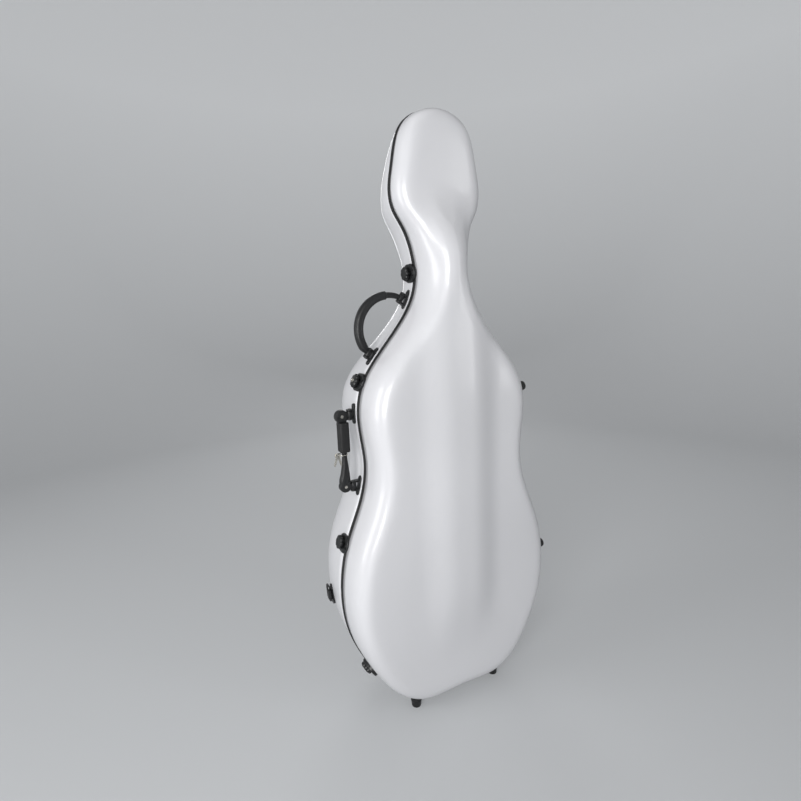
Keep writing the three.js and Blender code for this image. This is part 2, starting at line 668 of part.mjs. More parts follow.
// Latch: a plate on the back shell carries a winged knob, whose spindle drives a draw hook that lies
// in the notch of a half-round keeper on the lid.
function latchPlate(frame) {
  const plate = slab(halfDiscShape(LATCH_PLATE_RADIUS, SEAM_GAP, -1), -CUT_OVERRUN, LATCH_PLATE_THICKNESS);
  const boss = slab(
    discShape(LATCH_BOSS_RADIUS, -LATCH_KNOB_OFFSET, 0), -CUT_OVERRUN, LATCH_PLATE_THICKNESS,
  );
  const channelHalf = LATCH_HOOK_WIDTH / 2 + RUNNING_GAP;
  const channel = block(
    hookFloor() - RUNNING_GAP, LATCH_PLATE_THICKNESS + CUT_OVERRUN,
    -LATCH_KNOB_OFFSET - LATCH_HOOK_TAIL - RUNNING_GAP, CUT_OVERRUN, -channelHalf, channelHalf,
  );
  const bore = slab(
    discShape(LATCH_SPINDLE_RADIUS + RUNNING_GAP, -LATCH_KNOB_OFFSET, 0),
    spindleFloor() - RUNNING_GAP, LATCH_PLATE_THICKNESS + CUT_OVERRUN,
  );
  const body = joined(placed(plate, frame), placed(boss, frame));
  return seatedOnBack(body.subtract(placed(channel, frame)).subtract(placed(bore, frame)));
}

const hookFloor = () => RIM_PROUD + SEAT_GAP + RUNNING_GAP;
const spindleFloor = () => hookFloor() - RIM_PROUD / 2;
const knobFloor = () => LATCH_PLATE_THICKNESS + RUNNING_GAP;

function latchKnob(frame, locked) {
  const floor = knobFloor();
  const top = floor + LATCH_KNOB_THICKNESS;
  const disc = slab(discShape(LATCH_KNOB_RADIUS, -LATCH_KNOB_OFFSET, 0), floor, top);
  const wing = slab(
    slotShape(LATCH_WING_LENGTH, LATCH_WING_WIDTH, -LATCH_KNOB_OFFSET, 0),
    top - LATCH_KNOB_THICKNESS / 2, top + LATCH_WING_THICKNESS,
  );
  const spindle = slab(discShape(LATCH_SPINDLE_RADIUS, -LATCH_KNOB_OFFSET, 0), spindleFloor(), top);
  const knob = joined(placed(disc, frame), placed(wing, frame), placed(spindle, frame));
  if (!locked) return knob;
  const lockTop = top + LATCH_WING_THICKNESS + LATCH_LOCK_RISE;
  return knob.add(placed(slab(discShape(LATCH_LOCK_RADIUS, -LATCH_KNOB_OFFSET, 0), top, lockTop), frame));
}

function latchHook(frame) {
  const half = LATCH_HOOK_WIDTH / 2;
  const tail = -LATCH_KNOB_OFFSET - LATCH_HOOK_TAIL;
  const plate = block(hookFloor(), hookFloor() + LATCH_HOOK_THICKNESS, tail, LATCH_HOOK_REACH, -half, half);
  const slotWidth = 2 * (LATCH_SPINDLE_RADIUS + RUNNING_GAP);
  const slot = block(
    -CUT_OVERRUN, CUT_OVERRUN, -LATCH_KNOB_OFFSET - LATCH_STROKE - slotWidth / 2,
    -LATCH_KNOB_OFFSET + slotWidth / 2, -slotWidth / 2, slotWidth / 2,
  );
  return placed(plate, frame).subtract(placed(slot, frame));
}

function latchKeeper(frame) {
  const disc = slab(halfDiscShape(LATCH_PLATE_RADIUS, SEAM_GAP, 1), -CUT_OVERRUN, LATCH_PLATE_THICKNESS);
  const notchHalf = LATCH_HOOK_WIDTH / 2 + RUNNING_GAP;
  const notch = block(
    hookFloor() - RUNNING_GAP, LATCH_PLATE_THICKNESS + CUT_OVERRUN, -CUT_OVERRUN,
    LATCH_HOOK_REACH + LATCH_STROKE + RUNNING_GAP, -notchHalf, notchHalf,
  );
  return seatedOnLid(placed(disc, frame).subtract(placed(notch, frame)));
}

function buildLatches(base, lid) {
  for (const [name, height] of Object.entries(LATCH_HEIGHTS)) {
    const frame = wallFrame(LATCH_SIDE, height, 0);
    base.add(partMesh(`latch_${name}_plate`, latchPlate(frame), blackMoulding));
    base.add(partMesh(`latch_${name}_knob`, latchKnob(frame, name === LATCH_LOCKED), blackMoulding));
    base.add(partMesh(`latch_${name}_hook`, latchHook(frame), blackSteel));
    lid.add(partMesh(`latch_${name}_keeper`, latchKeeper(frame), blackMoulding));
  }
}

// Hinges: each has a base leaf with two knuckles and the pin, and a lid leaf with the middle knuckle.
function hingeAxis() {
  const low = new THREE.Vector3(LOWER_BOUT_WIDTH / 2 + HINGE_STANDOFF, 0, LOWER_BOUT_HEIGHT);
  const high = new THREE.Vector3(UPPER_BOUT_WIDTH / 2 + HINGE_STANDOFF, 0, UPPER_BOUT_HEIGHT);
  return { low, up: high.sub(low).normalize() };
}

function hingeFrame(height) {
  const { low, up } = hingeAxis();
  const origin = low.clone().addScaledVector(up, (height - low.z) / up.z);
  return framed(Y_AXIS.clone().cross(up), up, origin);
}

function hingeLeaf(frame, side, knuckles, wallGap) {
  const half = HINGE_LENGTH / 2;
  const top = -wallGap + RIM_PROUD + SEAT_GAP + HINGE_LEAF_THICKNESS;
  const [nearY, farY] = [SEAM_GAP * 2, HINGE_LEAF_WIDTH];
  const ys = side > 0 ? [nearY, farY] : [-farY, -nearY];
  const leaf = block(-wallGap - CUT_OVERRUN, top, ys[0], ys[1], -half, half);
  const pieces = [placed(leaf, frame)];
  const webYs = side > 0 ? [nearY, nearY + HINGE_WEB_THICKNESS] : [-nearY - HINGE_WEB_THICKNESS, -nearY];
  for (const [from, to] of knuckles) {
    pieces.push(placed(rod(HINGE_KNUCKLE_RADIUS, from, to), frame));
    pieces.push(placed(block(top - HINGE_LEAF_THICKNESS, 0, webYs[0], webYs[1], from, to), frame));
  }
  return joined(...pieces);
}

function wallGapAt(height) {
  const { low, up } = hingeAxis();
  const origin = low.clone().addScaledVector(up, (height - low.z) / up.z);
  const inward = Y_AXIS.clone().cross(up);
  let nearest = Infinity;
  for (const p of fineHalf) {
    const offset = new THREE.Vector3(p.x, 0, p.y).sub(origin);
    if (Math.abs(offset.dot(up)) < HINGE_LENGTH / 2) nearest = Math.min(nearest, Math.abs(offset.dot(inward)));
  }
  return nearest;
}

function buildHinges(base, lid) {
  const half = HINGE_LENGTH / 2;
  const mid = HINGE_LENGTH * HINGE_KNUCKLE_SHARE / 2;
  for (const [name, height] of [["lower", HINGE_LOWER_HEIGHT], ["upper", HINGE_UPPER_HEIGHT]]) {
    const frame = hingeFrame(height);
    const gap = wallGapAt(height);
    const outer = [[-half, -mid - RUNNING_GAP], [mid + RUNNING_GAP, half]];
    const pin = placed(rod(HINGE_PIN_RADIUS, -half, half), frame);
    const baseLeaf = joined(hingeLeaf(frame, 1, outer, gap), pin);
    const bore = placed(rod(HINGE_PIN_RADIUS + RUNNING_GAP, -half, half), frame);
    const lidLeaf = hingeLeaf(frame, -1, [[-mid, mid]], gap).subtract(bore);
    base.add(partMesh(`hinge_${name}_base_leaf`, seatedOnBack(baseLeaf), blackSteel));
    lid.add(partMesh(`hinge_${name}_lid_leaf`, seatedOnLid(lidLeaf), blackSteel));
  }
}

// A handle turns on two brackets whose pins share one line, its chord, which clears the wall between.
function chordFrame(lowHeight, highHeight) {
  const [low, high] = [outlineAt(lowHeight), outlineAt(highHeight)];
  const along = high.clone().sub(low).normalize();
  const outward = new THREE.Vector2(along.y, -along.x);
  const spanned = skinHalf.filter((p) => p.y > lowHeight && p.y < highHeight);
  const bulge = Math.max(0, ...spanned.map((p) => p.clone().sub(low).dot(outward)));
  const ends = [lowHeight, highHeight].map((height) => {
    const wall = wallFrame(LATCH_SIDE, height, HANDLE_SEAM_OFFSET);
    return new THREE.Vector3(HANDLE_STANDOFF + bulge, 0, 0).applyMatrix4(wall);
  });
  const up = ends[1].clone().sub(ends[0]);
  const length = up.length();
  up.normalize();
  const middle = ends[0].clone().lerp(ends[1], 1 / 2);
  return { frame: framed(up.clone().cross(Y_AXIS), up, middle), length };
}

function bracket(chord, z, height) {
  const wall = wallFrame(LATCH_SIDE, height, HANDLE_SEAM_OFFSET);
  const plate = placed(slab(slotShape(BRACKET_LENGTH, BRACKET_WIDTH), -CUT_OVERRUN, BRACKET_THICKNESS), wall);
  const inner = HANDLE_EYE_LENGTH / 2 + RUNNING_GAP;
  const outer = inner + BRACKET_EAR_THICKNESS;
  const pieces = [plate, placed(rod(BRACKET_PIN_RADIUS, z - outer, z + outer), chord)];
  for (const [from, to] of [[z - outer, z - inner], [z + inner, z + outer]]) {
    pieces.push(placed(rod(BRACKET_EAR_RADIUS, from, to, 14), chord));
    pieces.push(placed(
      block(-HANDLE_STANDOFF - BRACKET_EAR_RADIUS, 0, -BRACKET_EAR_RADIUS, BRACKET_EAR_RADIUS, from, to), chord,
    ));
  }
  return seatedOnBack(joined(...pieces));
}

function handleEye(z) {
  return rod(HANDLE_EYE_RADIUS, z - HANDLE_EYE_LENGTH / 2, z + HANDLE_EYE_LENGTH / 2, 14);
}

function eyeBore(z) {
  return rod(BRACKET_PIN_RADIUS + RUNNING_GAP, z - HANDLE_EYE_LENGTH, z + HANDLE_EYE_LENGTH);
}

function tube(curve, radius, steps, sides) {
  const circle = new THREE.Shape();
  circle.absarc(0, 0, radius, 0, Math.PI * 2, false);
  return new THREE.ExtrudeGeometry(circle, {
    steps, extrudePath: curve, bevelEnabled: false, curveSegments: sides / 2,
  });
}

// A round arc in the frame's X and Z, standing out of the chord by its rise.
class BowCurve extends THREE.Curve {
  constructor(chord, rise, fromShare, toShare) {
    super();
    this.radius = (chord * chord / 4 + rise * rise) / (2 * rise);
    this.centre = rise - this.radius;
    this.sweep = rise > this.radius
      ? Math.PI - Math.asin(chord / 2 / this.radius) : Math.asin(chord / 2 / this.radius);
    this.fromShare = fromShare;
    this.toShare = toShare;
  }

  getPoint(t, target = new THREE.Vector3()) {
    const share = this.fromShare + (this.toShare - this.fromShare) * t;
    const angle = this.sweep * (2 * share - 1);
    return target.set(this.centre + this.radius * Math.cos(angle), 0, this.radius * Math.sin(angle));
  }
}

const GRIP_START_SHARE = 0.06;

function buildShoulderHandle(base) {
  const { frame, length } = chordFrame(SHOULDER_HANDLE_LOW, SHOULDER_HANDLE_HIGH);
  const [low, high] = [-length / 2, length / 2];
  base.add(partMesh("shoulder_bracket_lower", bracket(frame, low, SHOULDER_HANDLE_LOW), blackMoulding));
  base.add(partMesh("shoulder_bracket_upper", bracket(frame, high, SHOULDER_HANDLE_HIGH), blackMoulding));
  const core = new BowCurve(length, SHOULDER_HANDLE_RISE, 0, 1);
  const grip = new BowCurve(length, SHOULDER_HANDLE_RISE, GRIP_START_SHARE, 1 - GRIP_START_SHARE);
  const handle = joined(
    placed(tube(core, SHOULDER_HANDLE_ROOT_RADIUS, 14, 8), frame),
    placed(tube(grip, SHOULDER_HANDLE_RADIUS, 14, 10), frame),
    placed(handleEye(low), frame), placed(handleEye(high), frame),
  );
  const bored = handle.subtract(placed(eyeBore(low), frame)).subtract(placed(eyeBore(high), frame));
  base.add(partMesh("shoulder_handle", bored, rubber));
}

// The side handle's core leaves each eye outwards, bends and runs straight through the grip.
function sideCoreCurve(length) {
  const end = length / 2;
  const reach = SIDE_HANDLE_REACH;
  const bend = SIDE_HANDLE_BEND;
  const point = (x, z) => new THREE.Vector3(x, 0, z);
  const path = new THREE.CurvePath();
  path.add(new THREE.LineCurve3(point(0, -end), point(reach - bend, -end)));
  path.add(new THREE.QuadraticBezierCurve3(
    point(reach - bend, -end), point(reach, -end), point(reach, bend - end),
  ));
  path.add(new THREE.LineCurve3(point(reach, bend - end), point(reach, end - bend)));
  path.add(new THREE.QuadraticBezierCurve3(
    point(reach, end - bend), point(reach, end), point(reach - bend, end),
  ));
  path.add(new THREE.LineCurve3(point(reach - bend, end), point(0, end)));
  return path;
}

function buildSideHandle(base) {
  const { frame, length } = chordFrame(SIDE_HANDLE_LOW, SIDE_HANDLE_HIGH);
  const [low, high] = [-length / 2, length / 2];
  base.add(partMesh("side_bracket_lower", bracket(frame, low, SIDE_HANDLE_LOW), blackMoulding));
  base.add(partMesh("side_bracket_upper", bracket(frame, high, SIDE_HANDLE_HIGH), blackMoulding));
  const shoe = new THREE.CylinderGeometry(SIDE_HANDLE_CORE_RADIUS, SIDE_SHOE_RADIUS, SIDE_SHOE_LENGTH, 12);
  shoe.rotateX(Math.PI / 2).translate(SIDE_HANDLE_REACH, 0, low + SIDE_SHOE_LENGTH / 2);
  const core = joined(
    placed(tube(sideCoreCurve(length), SIDE_HANDLE_CORE_RADIUS, 32, 8), frame), placed(shoe, frame),
    placed(handleEye(low), frame), placed(handleEye(high), frame),
  );
  const bored = core.subtract(placed(eyeBore(low), frame)).subtract(placed(eyeBore(high), frame));
  base.add(partMesh("side_handle", bored, blackMoulding));
  base.add(partMesh("side_handle_grip", sideGrip(frame, high), rubber));
  buildKeys(base, frame, high - SIDE_GRIP_TOP_DROP - SIDE_GRIP_LENGTH - KEY_RING_DROP);
}

function sideGrip(frame, high) {
  const [w, d] = [SIDE_GRIP_THICKNESS / 2, SIDE_GRIP_WIDTH / 2];
  const oval = new THREE.Shape();
  oval.absellipse(0, 0, w - SIDE_GRIP_ROUND, d - SIDE_GRIP_ROUND, 0, Math.PI * 2, false, 0);
  const geometry = new THREE.ExtrudeGeometry(oval, {
    depth: SIDE_GRIP_LENGTH - 2 * SIDE_GRIP_ROUND, curveSegments: ROUND_STEPS,
    bevelSize: SIDE_GRIP_ROUND, bevelThickness: SIDE_GRIP_ROUND, bevelSegments: 2,
  });
  const bottom = high - SIDE_GRIP_TOP_DROP - SIDE_GRIP_LENGTH;
  geometry.translate(SIDE_HANDLE_REACH, 0, bottom + SIDE_GRIP_ROUND);
  const bore = rod(SIDE_HANDLE_CORE_RADIUS + RUNNING_GAP, bottom - CUT_OVERRUN, high);
  return placed(geometry, frame).subtract(placed(bore.translate(SIDE_HANDLE_REACH, 0, 0), frame));
}

function buildKeys(base, frame, z) {
  const nearWire = SIDE_HANDLE_CORE_RADIUS + RUNNING_GAP + KEY_RING_WIRE_RADIUS;
  const centre = SIDE_HANDLE_REACH - nearWire + KEY_RING_RADIUS;
  const ring = new THREE.TorusGeometry(KEY_RING_RADIUS, KEY_RING_WIRE_RADIUS, 5, 18).translate(centre, 0, z);
  base.add(partMesh("key_ring", placed(ring, frame), brightSteel));
  const hang = new THREE.Matrix4().makeTranslation(centre + KEY_RING_RADIUS, 0, z);
  const turned = (angle) => frame.clone().multiply(hang).multiply(new THREE.Matrix4().makeRotationY(angle));
  const side = KEY_THICKNESS / 2 + SEAT_GAP;
  base.add(partMesh("key_front", key(turned(KEY_SPREAD_ANGLE), side), brightSteel));
  base.add(partMesh("key_rear", key(turned(-KEY_SPREAD_ANGLE), -side), brightSteel));
}

// A flat key that hangs by the hole in its bow.
function key(frame, offset) {
  const shape = new THREE.Shape();
  const half = KEY_BLADE_WIDTH / 2;
  const bowCentre = -KEY_BOW_RADIUS + KEY_HOLE_RADIUS + KEY_THICKNESS;
  const meet = Math.asin(half / KEY_BOW_RADIUS);
  shape.absarc(0, bowCentre, KEY_BOW_RADIUS, meet - Math.PI / 2, Math.PI * 3 / 2 - meet, false);
  shape.lineTo(-half, bowCentre - KEY_LENGTH + half);
  shape.lineTo(0, bowCentre - KEY_LENGTH);
  shape.lineTo(half, bowCentre - KEY_LENGTH + half);
  const hole = new THREE.Path();
  hole.absarc(0, 0, KEY_HOLE_RADIUS, 0, Math.PI * 2, true);
  shape.holes.push(hole);
  const geometry = new THREE.ExtrudeGeometry(shape, {
    depth: KEY_THICKNESS, bevelEnabled: false, curveSegments: 4,
  });
  geometry.rotateX(Math.PI / 2).translate(0, KEY_THICKNESS / 2 + offset, 0);
  return placed(geometry, frame);
}

// Strap ring: a plate with a barrel that holds the straight bar of a D-shaped ring.
function strapFrame(side, height, depth) {
  const out = new THREE.Vector3(side, 0, 0);
  const wall = wallFrame(side, height, depth);
  const up = new THREE.Vector3().setFromMatrixColumn(wall, 2);
  out.setFromMatrixColumn(wall, 0);
  const reach = Math.max(EDGE_ROUND * (1 - (1 - (depth / profile(BACK.depths, height)) ** EDGE_SQUARENESS)
    ** (1 / EDGE_SQUARENESS)), 0);
  const origin = new THREE.Vector3().setFromMatrixPosition(wall).addScaledVector(out, -reach);
  return framed(out, up, origin);
}

function strapPlate(frame) {
  const plate = slab(slotShape(STRAP_PLATE_LENGTH, STRAP_PLATE_WIDTH), -CUT_OVERRUN, STRAP_PLATE_THICKNESS);
  const half = STRAP_BARREL_LENGTH / 2;
  const centre = STRAP_PLATE_THICKNESS + STRAP_RING_WIRE;
  const barrel = rod(STRAP_BARREL_RADIUS, -half, half).translate(centre, 0, 0);
  const web = block(0, centre, -STRAP_BARREL_RADIUS, STRAP_BARREL_RADIUS, -half, half);
  const bore = rod(STRAP_RING_WIRE * Math.SQRT1_2 + RUNNING_GAP, -CUT_OVERRUN, CUT_OVERRUN);
  const body = joined(placed(plate, frame), placed(barrel, frame), placed(web, frame));
  return seatedOnBack(body.subtract(placed(bore.translate(centre, 0, 0), frame)));
}

function strapRing(frame, turn) {
  const half = STRAP_RING_WIDTH / 2;
  const wire = STRAP_RING_WIRE;
  const outline = (inset, target) => {
    const reach = STRAP_RING_DROP - inset;
    const side = half - inset;
    const start = wire / 2 - inset;
    target.moveTo(start, -side);
    target.lineTo(start, side);
    target.lineTo(-reach / 2, side);
    target.quadraticCurveTo(-reach, side, -reach, side / 2);
    target.lineTo(-reach, -side / 2);
    target.quadraticCurveTo(-reach, -side, -reach / 2, -side);
    target.closePath();
    return target;
  };
  const shape = outline(0, new THREE.Shape());
  shape.holes.push(outline(wire, new THREE.Path()));
  const centre = STRAP_PLATE_THICKNESS + STRAP_RING_WIRE;
  const geometry = new THREE.ExtrudeGeometry(shape, { depth: wire, bevelEnabled: false, curveSegments: 3 });
  geometry.applyMatrix4(new THREE.Matrix4().makeBasis(Y_AXIS, Z_AXIS, X_AXIS));
  geometry.translate(-wire / 2, 0, 0).rotateZ(turn);
  return placed(geometry.translate(centre, 0, 0), frame);
}

// The top ring lies against the slope of the back.
function strapTopFrame() {
  const at = (height) => new THREE.Vector3(0, profile(BACK.depths, height), height);
  const rise = at(STRAP_TOP_HEIGHT).sub(at(STRAP_TOP_HEIGHT - STRAP_RING_DROP)).normalize();
  return framed(rise.cross(X_AXIS), X_AXIS, at(STRAP_TOP_HEIGHT));
}

function buildStrapRings(base) {
  const places = {
    left: strapFrame(-1, STRAP_LOW_HEIGHT, STRAP_LOW_DEPTH),
    right: strapFrame(1, STRAP_LOW_HEIGHT, STRAP_LOW_DEPTH),
    top: strapTopFrame(),
  };
  for (const [name, frame] of Object.entries(places)) {
    base.add(partMesh(`strap_${name}_plate`, strapPlate(frame), blackSteel));
    base.add(partMesh(`strap_${name}_ring`, strapRing(frame, name === "right" ? Math.PI : 0), blackSteel));
  }
}

// Rubber feet, cut to the wall that they stand on
function foot(frame, height, seat) {
  const tip = new THREE.CylinderGeometry(FOOT_RADIUS, FOOT_TIP_RADIUS, height, 16);
  tip.rotateX(Math.PI / 2).translate(0, 0, -height / 2);
  const root = rod(FOOT_RADIUS, 0, CUT_OVERRUN, 16);
  return seat(placed(root, frame).add(placed(tip, frame)));
}

function buildFeet(base, lid) {
  for (const [name, side] of [["left", -1], ["right", 1]]) {
    const at = (depth) => new THREE.Matrix4().makeTranslation(side * FOOT_SPREAD, depth, 0);
    base.add(partMesh(`back_foot_${name}`, foot(at(BACK_FOOT_DEPTH_PLACE), FOOT_HEIGHT, seatedOnBack), rubber));
    lid.add(partMesh(`lid_foot_${name}`, foot(at(-LID_FOOT_DEPTH), FOOT_HEIGHT, seatedOnLid), rubber));
  }
  const turn = new THREE.Matrix4().makeRotationY(-Math.PI / 2);
  for (const [name, height] of [["lower", SIDE_FOOT_LOWER], ["upper", SIDE_FOOT_UPPER]]) {
    const at = (depth) => wallFrame(HINGE_SIDE, height, depth).multiply(turn);
    base.add(partMesh(
      `back_side_foot_${name}`, foot(at(BACK_SIDE_FOOT_DEPTH), SIDE_FOOT_HEIGHT, seatedOnBack), rubber,
    ));
    lid.add(partMesh(
      `lid_side_foot_${name}`, foot(at(-LID_SIDE_FOOT_DEPTH), SIDE_FOOT_HEIGHT, seatedOnLid), rubber,
    ));
  }
}

// Padding in the back shell
function neckCradle() {
  const half = NECK_WIDTH;
  const low = CRADLE_HEIGHT - CRADLE_LENGTH / 2;
  const high = CRADLE_HEIGHT + CRADLE_LENGTH / 2;
  const pad = solidOf(block(-half, half, CRADLE_TOP_DEPTH, BACK_DEPTH, low, high));
  const notch = rod(CRADLE_NOTCH_RADIUS, low - CUT_OVERRUN, high + CUT_OVERRUN, 20);
  const round = solidOf(notch.translate(0, CRADLE_FLOOR_DEPTH - CRADLE_NOTCH_RADIUS, 0));
  const mouth = solidOf(block(
    -CRADLE_NOTCH_RADIUS, CRADLE_NOTCH_RADIUS, -CUT_OVERRUN, CRADLE_FLOOR_DEPTH - CRADLE_NOTCH_RADIUS,
    low - CUT_OVERRUN, high + CUT_OVERRUN,
  ));
  return pad.intersect(backCavity).subtract(round).subtract(mouth);
}

// The strap bows over the cradle from one side of it to the other.
function neckStrap() {
  const low = CRADLE_HEIGHT - NECK_STRAP_WIDTH / 2;
  const floor = CRADLE_TOP_DEPTH - SEAT_GAP;
  const half = NECK_WIDTH / 2;
  const shape = new THREE.Shape();
  shape.moveTo(-half, floor);
  shape.quadraticCurveTo(0, floor - 2 * NECK_STRAP_RISE, half, floor);
  shape.lineTo(half, floor - NECK_STRAP_THICKNESS);
  shape.quadraticCurveTo(
    0, floor - NECK_STRAP_THICKNESS - 2 * NECK_STRAP_RISE, -half, floor - NECK_STRAP_THICKNESS,
  );
  shape.closePath();
  const geometry = new THREE.ExtrudeGeometry(shape, {
    depth: NECK_STRAP_WIDTH, bevelEnabled: false, curveSegments: 8,
  });
  return solidOf(geometry.translate(0, 0, low)).intersect(backCavity);
}

function endBlock() {
  const half = END_BLOCK_HALF_WIDTH;
  const pad = solidOf(block(-half, half, END_BLOCK_TOP_DEPTH, BACK_DEPTH, 0, END_BLOCK_HEIGHT));
  const notch = solidOf(block(
    -END_BLOCK_NOTCH_HALF, END_BLOCK_NOTCH_HALF, -CUT_OVERRUN, END_BLOCK_TOP_DEPTH + END_BLOCK_NOTCH_DEPTH,
    -CUT_OVERRUN, END_BLOCK_HEIGHT + CUT_OVERRUN,
  ));
  return pad.intersect(backCavity).subtract(notch);
}

function bodyCushion(side) {
  const outer = LOWER_BOUT_WIDTH;
  const [from, to] = side > 0 ? [CUSHION_INNER_HALF, outer] : [-outer, -CUSHION_INNER_HALF];
  const pad = solidOf(block(from, to, CUSHION_TOP_DEPTH, BACK_DEPTH, CUSHION_LOW, CUSHION_HIGH));
  return pad.intersect(backCavity);
}

function buildPadding(base) {
  base.add(partMesh("neck_cradle", neckCradle(), plush));
  base.add(partMesh("neck_strap", neckStrap(), webbing));
  base.add(partMesh("end_block", endBlock(), plush));
  base.add(partMesh("body_cushion_left", bodyCushion(-1), plush));
  base.add(partMesh("body_cushion_right", bodyCushion(1), plush));
}

// Holders in the lid, each against the lining of the panel
function lidPanelDepth(x, z) {
  return skinDepth(LID, LINING_INSET + LINING_THICKNESS, x, z);
}

function accessoryPocket() {
  const shape = new THREE.Shape();
  const half = POCKET_WIDTH / 2;
  const round = POCKET_ROUND;
  shape.absarc(half - round, POCKET_LOW + round, round, -Math.PI / 2, 0, false);
  shape.absarc(half - round, POCKET_HIGH - round, round, 0, Math.PI / 2, false);
  shape.absarc(-half + round, POCKET_HIGH - round, round, Math.PI / 2, Math.PI, false);
  shape.absarc(-half + round, POCKET_LOW + round, round, Math.PI, Math.PI * 3 / 2, false);
  const face = lidPanelDepth(half, POCKET_LOW) - POCKET_THICKNESS;
  const geometry = new THREE.ExtrudeGeometry(shape, {
    depth: POCKET_THICKNESS + CUT_OVERRUN, bevelEnabled: false, curveSegments: 4,
  });
  return solidOf(geometry.rotateX(Math.PI / 2).translate(0, -face, 0)).intersect(lidCavity);
}

function bowTipPocket() {
  const half = BOW_TIP_HALF_WIDTH;
  const face = lidPanelDepth(half, BOW_TIP_HEIGHT) - BOW_TIP_THICKNESS;
  const pad = solidOf(block(
    -half, half, -LID_DEPTH - CUT_OVERRUN, -face, BOW_TIP_HEIGHT, BOW_TIP_HEIGHT + BOW_TIP_LENGTH,
  ));
  return pad.intersect(lidCavity);
}

function bowClip(side) {
  const x = side * BOW_CLIP_SPREAD;
  const depth = lidPanelDepth(x, BOW_CLIP_HEIGHT) - SEAT_GAP;
  const post = rod(BOW_CLIP_POST_RADIUS, 0, BOW_CLIP_POST_HEIGHT, 12);
  const bar = new THREE.ExtrudeGeometry(slotShape(BOW_CLIP_LENGTH, BOW_CLIP_WIDTH), {
    depth: BOW_CLIP_THICKNESS, bevelEnabled: false, curveSegments: 5,
  });
  const solid = solidOf(post).add(solidOf(bar.translate(0, 0, BOW_CLIP_POST_HEIGHT - BOW_CLIP_THICKNESS)));
  const frame = new THREE.Matrix4().makeBasis(X_AXIS.clone().negate(), Z_AXIS, Y_AXIS);
  return solid.transform(frame.setPosition(x, -depth, BOW_CLIP_HEIGHT).toArray()).intersect(lidCavity);
}

function buildHolders(lid) {
  lid.add(partMesh("accessory_pocket", accessoryPocket(), plush));
  lid.add(partMesh("bow_tip_pocket", bowTipPocket(), plush));
  lid.add(partMesh("bow_clip_left", bowClip(-1), blackMoulding));
  lid.add(partMesh("bow_clip_right", bowClip(1), blackMoulding));
}

function buildShells(base, lid) {
  base.add(partMesh("back_shell", shell(BACK, BACK_RIM_WEB + SEAM_GAP), glossWhite));
  base.add(partMesh("back_rim", rim(BACK, SEAM_GAP, BACK_RIM_WEB + SEAM_GAP), rubber));
  base.add(partMesh("back_lining", lining(BACK), plush));
  lid.add(partMesh("front_shell", shell(LID, LID_RIM_WEB), glossWhite));
  lid.add(partMesh("lid_rim", lidRim(), rubber));
  lid.add(partMesh("lid_seal", seal(), rubber));
  lid.add(partMesh("lid_lining", lining(LID), plush));
}

const base = new THREE.Group();
const lid = new THREE.Group();
buildShells(base, lid);
buildHinges(base, lid);
buildLatches(base, lid);
buildShoulderHandle(base);
buildSideHandle(base);
buildStrapRings(base);
buildFeet(base, lid);
buildPadding(base);
buildHolders(lid);

// The origin is on the floor, under the middle of the case's box.
const celloCase = new THREE.Group();
celloCase.add(base, lid);
const extent = new THREE.Box3().setFromObject(celloCase);
const middle = extent.getCenter(new THREE.Vector3());
celloCase.position.set(-middle.x, -middle.y, -extent.min.z);

export default celloCase;
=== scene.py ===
"""Looks of a cello hard case: glossy moulded shells, rubber trim, latches, hinges, handles and padding."""

from __future__ import annotations

import json
import logging
import math
from dataclasses import dataclass, field
from enum import Enum
from typing import Callable, Iterable, Sequence

import bmesh
import bpy
import numpy as np
from mathutils import Matrix, Vector

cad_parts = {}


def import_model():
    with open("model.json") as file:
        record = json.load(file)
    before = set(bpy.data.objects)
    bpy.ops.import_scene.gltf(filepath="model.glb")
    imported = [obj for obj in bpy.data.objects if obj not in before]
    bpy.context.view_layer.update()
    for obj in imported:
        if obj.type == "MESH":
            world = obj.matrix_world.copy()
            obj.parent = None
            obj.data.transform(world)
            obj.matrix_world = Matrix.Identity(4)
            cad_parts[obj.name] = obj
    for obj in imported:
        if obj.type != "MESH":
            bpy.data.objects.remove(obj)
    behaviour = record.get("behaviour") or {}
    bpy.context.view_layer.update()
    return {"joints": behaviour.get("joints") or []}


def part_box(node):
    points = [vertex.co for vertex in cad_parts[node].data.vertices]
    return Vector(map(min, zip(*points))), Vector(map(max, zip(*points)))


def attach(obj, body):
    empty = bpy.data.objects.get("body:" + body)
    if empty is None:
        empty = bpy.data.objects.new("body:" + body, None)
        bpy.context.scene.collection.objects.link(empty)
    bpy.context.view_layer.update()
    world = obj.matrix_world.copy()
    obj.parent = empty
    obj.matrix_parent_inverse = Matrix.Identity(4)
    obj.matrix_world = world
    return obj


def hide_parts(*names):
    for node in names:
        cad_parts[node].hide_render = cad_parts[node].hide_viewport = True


LOG = logging.getLogger("cello_case")

METRES = 0.001
TO_METRES = Matrix.Scale(METRES, 4)
TO_MILLIMETRES = Matrix.Scale(1 / METRES, 4)
WHOLE_TURN = 2 * math.pi
QUARTER_TURN = math.pi / 2
# Stands a shape whose thickness is along Z on a wall whose X points outwards.
PLATE_TO_WALL = Matrix(((0, 0, 1, 0), (1, 0, 0, 0), (0, 1, 0, 0), (0, 0, 0, 1)))
# Lays a shape that is turned round Z along Y.
Z_TO_Y = Matrix.Rotation(QUARTER_TURN, 4, "X")

# Millimetres that several fittings share: the latch's face over the wall and its spindle's distance from
# the seam, the shell's wall, how deep a fitting is let into the wall, and the reach of a cutting tool.
LATCH_HEIGHT = 6.0
LATCH_OFFSET = 24.0
SHELL_WALL = 3.0
LET_IN = 9.5
CUTTER = 20.0

